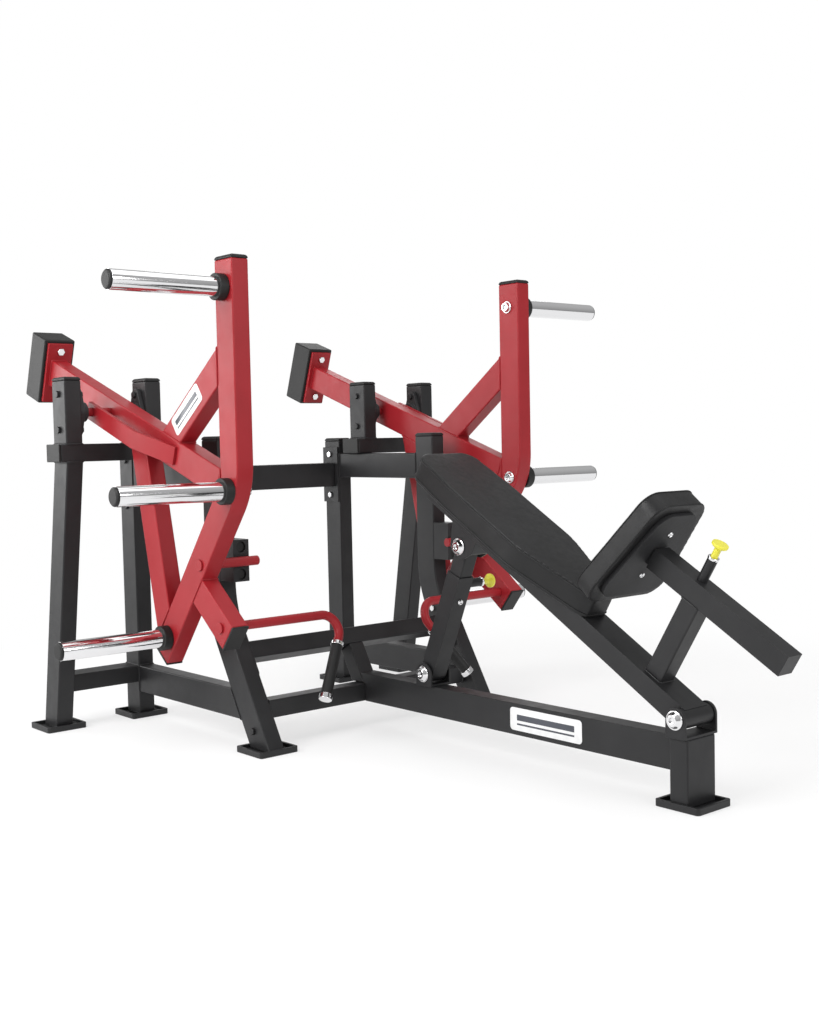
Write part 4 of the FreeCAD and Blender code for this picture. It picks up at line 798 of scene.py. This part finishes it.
def build_frame_welds():
    """Beads where the frame's tubes meet."""
    form = bmesh.new()
    leg_way = turned(LEG_SLOPE)[0]
    leg_half = slanted_half(LEG_SLOPE, 0.0)
    weld(form, Vector((0, SPINE_FRONT_Y, BASE_Z)), ACROSS, UP, HALF_THIN, HALF_DEEP)
    for side in (-1, 1):
        x = side * SIDE_X
        for y in (UPRIGHT_FACE_Y, REAR_FACE_Y):
            weld(form, Vector((x, y, TOP_BEAM_Z)), ACROSS, UP, HALF_THIN, HALF_DEEP)
        weld(form, Vector((x, REAR_FACE_Y, BASE_Z)), ACROSS, UP, HALF_THIN, HALF_DEEP)
        weld(form, Vector((x, LEG_FACE_Y, BASE_Z)), ACROSS, leg_way, HALF_THIN, leg_half)
        for post_x in POST_X:
            foot = Vector((side * post_x, PIVOT.y, SADDLE_TOP_Z))
            weld(form, foot, ACROSS, ALONG, HALF_THIN, HALF_DEEP)
        post_top = Vector((side * POST_X[-1], PIVOT.y, SADDLE_UNDER_Z))
        weld(form, post_top, ACROSS, ALONG, HALF_THIN, HALF_DEEP)
        for brace_x in REAR_BRACE_X:
            brace_end = Vector((side * brace_x, REAR_BRACE_Y, REAR_BRACE_Z))
            weld(form, brace_end, ALONG, UP, HALF_DEEP, HALF_THIN)
        end_x, end_y, end_z = LOW_BEAM_END
        weld(form, Vector((side * end_x, end_y, end_z)), ALONG, UP, HALF_THIN, HALF_THIN)
    piece("frame_welds", form, "black_paint", "frame")


def build_lever_welds(body, side):
    """Beads round the lever's main tube, diagonal brace, prop and handle bracket."""
    form = bmesh.new()
    place = PIVOT + ACROSS * (side * LEVER_X)
    main_way, main_up = turned(MAIN_SLOPE)
    arm_way, arm_up = turned(ARM_SLOPE)
    arm_face = place - ALONG * ARM_REACH
    weld_slanted(form, place, MAIN_SLOPE, arm_face, PLUMB_SLOPE)
    brace_start = place - turned(BRACE_SLOPE)[1] * BRACE_DROP
    weld_slanted(form, brace_start, BRACE_SLOPE, arm_face, PLUMB_SLOPE)
    weld_slanted(form, brace_start, BRACE_SLOPE, place + main_up * HALF_DEEP, MAIN_SLOPE)
    prop_start = place + PROP_CORNER + turned(PROP_SLOPE)[1] * HALF_DEEP
    weld_slanted(form, prop_start, PROP_SLOPE, place - main_up * HALF_DEEP, MAIN_SLOPE)
    bend = place + ARM_BEND
    weld_slanted(form, prop_start, PROP_SLOPE, bend + arm_up * HALF_DEEP, ARM_SLOPE)
    bracket = bend + arm_way * BRACKET_REACH - arm_up * HALF_DEEP
    weld(form, bracket, ACROSS, arm_way, HALF_THIN, HALF_DEEP)
    weld(form, place + main_way * TAIL_REACH, ACROSS, main_up, HALF_THIN, HALF_DEEP)
    piece("%s_welds" % body, form, "red_paint", body)


def build_bench_welds():
    """Beads at both ends of the seat post."""
    form = bmesh.new()
    for end in SEAT_POST_ENDS_N:
        centre = HINGE + BENCH_UP * SEAT_POST_U + BENCH_OUT * end
        weld(form, centre, ACROSS, BENCH_UP, HALF_THIN, HALF_THIN)
    piece("bench_welds", form, "black_paint", "bench")


build_frame_welds()
for lever_side, lever_body in ((-1, "lever_left"), (1, "lever_right")):
    build_lever_welds(lever_body, lever_side)
build_bench_welds()
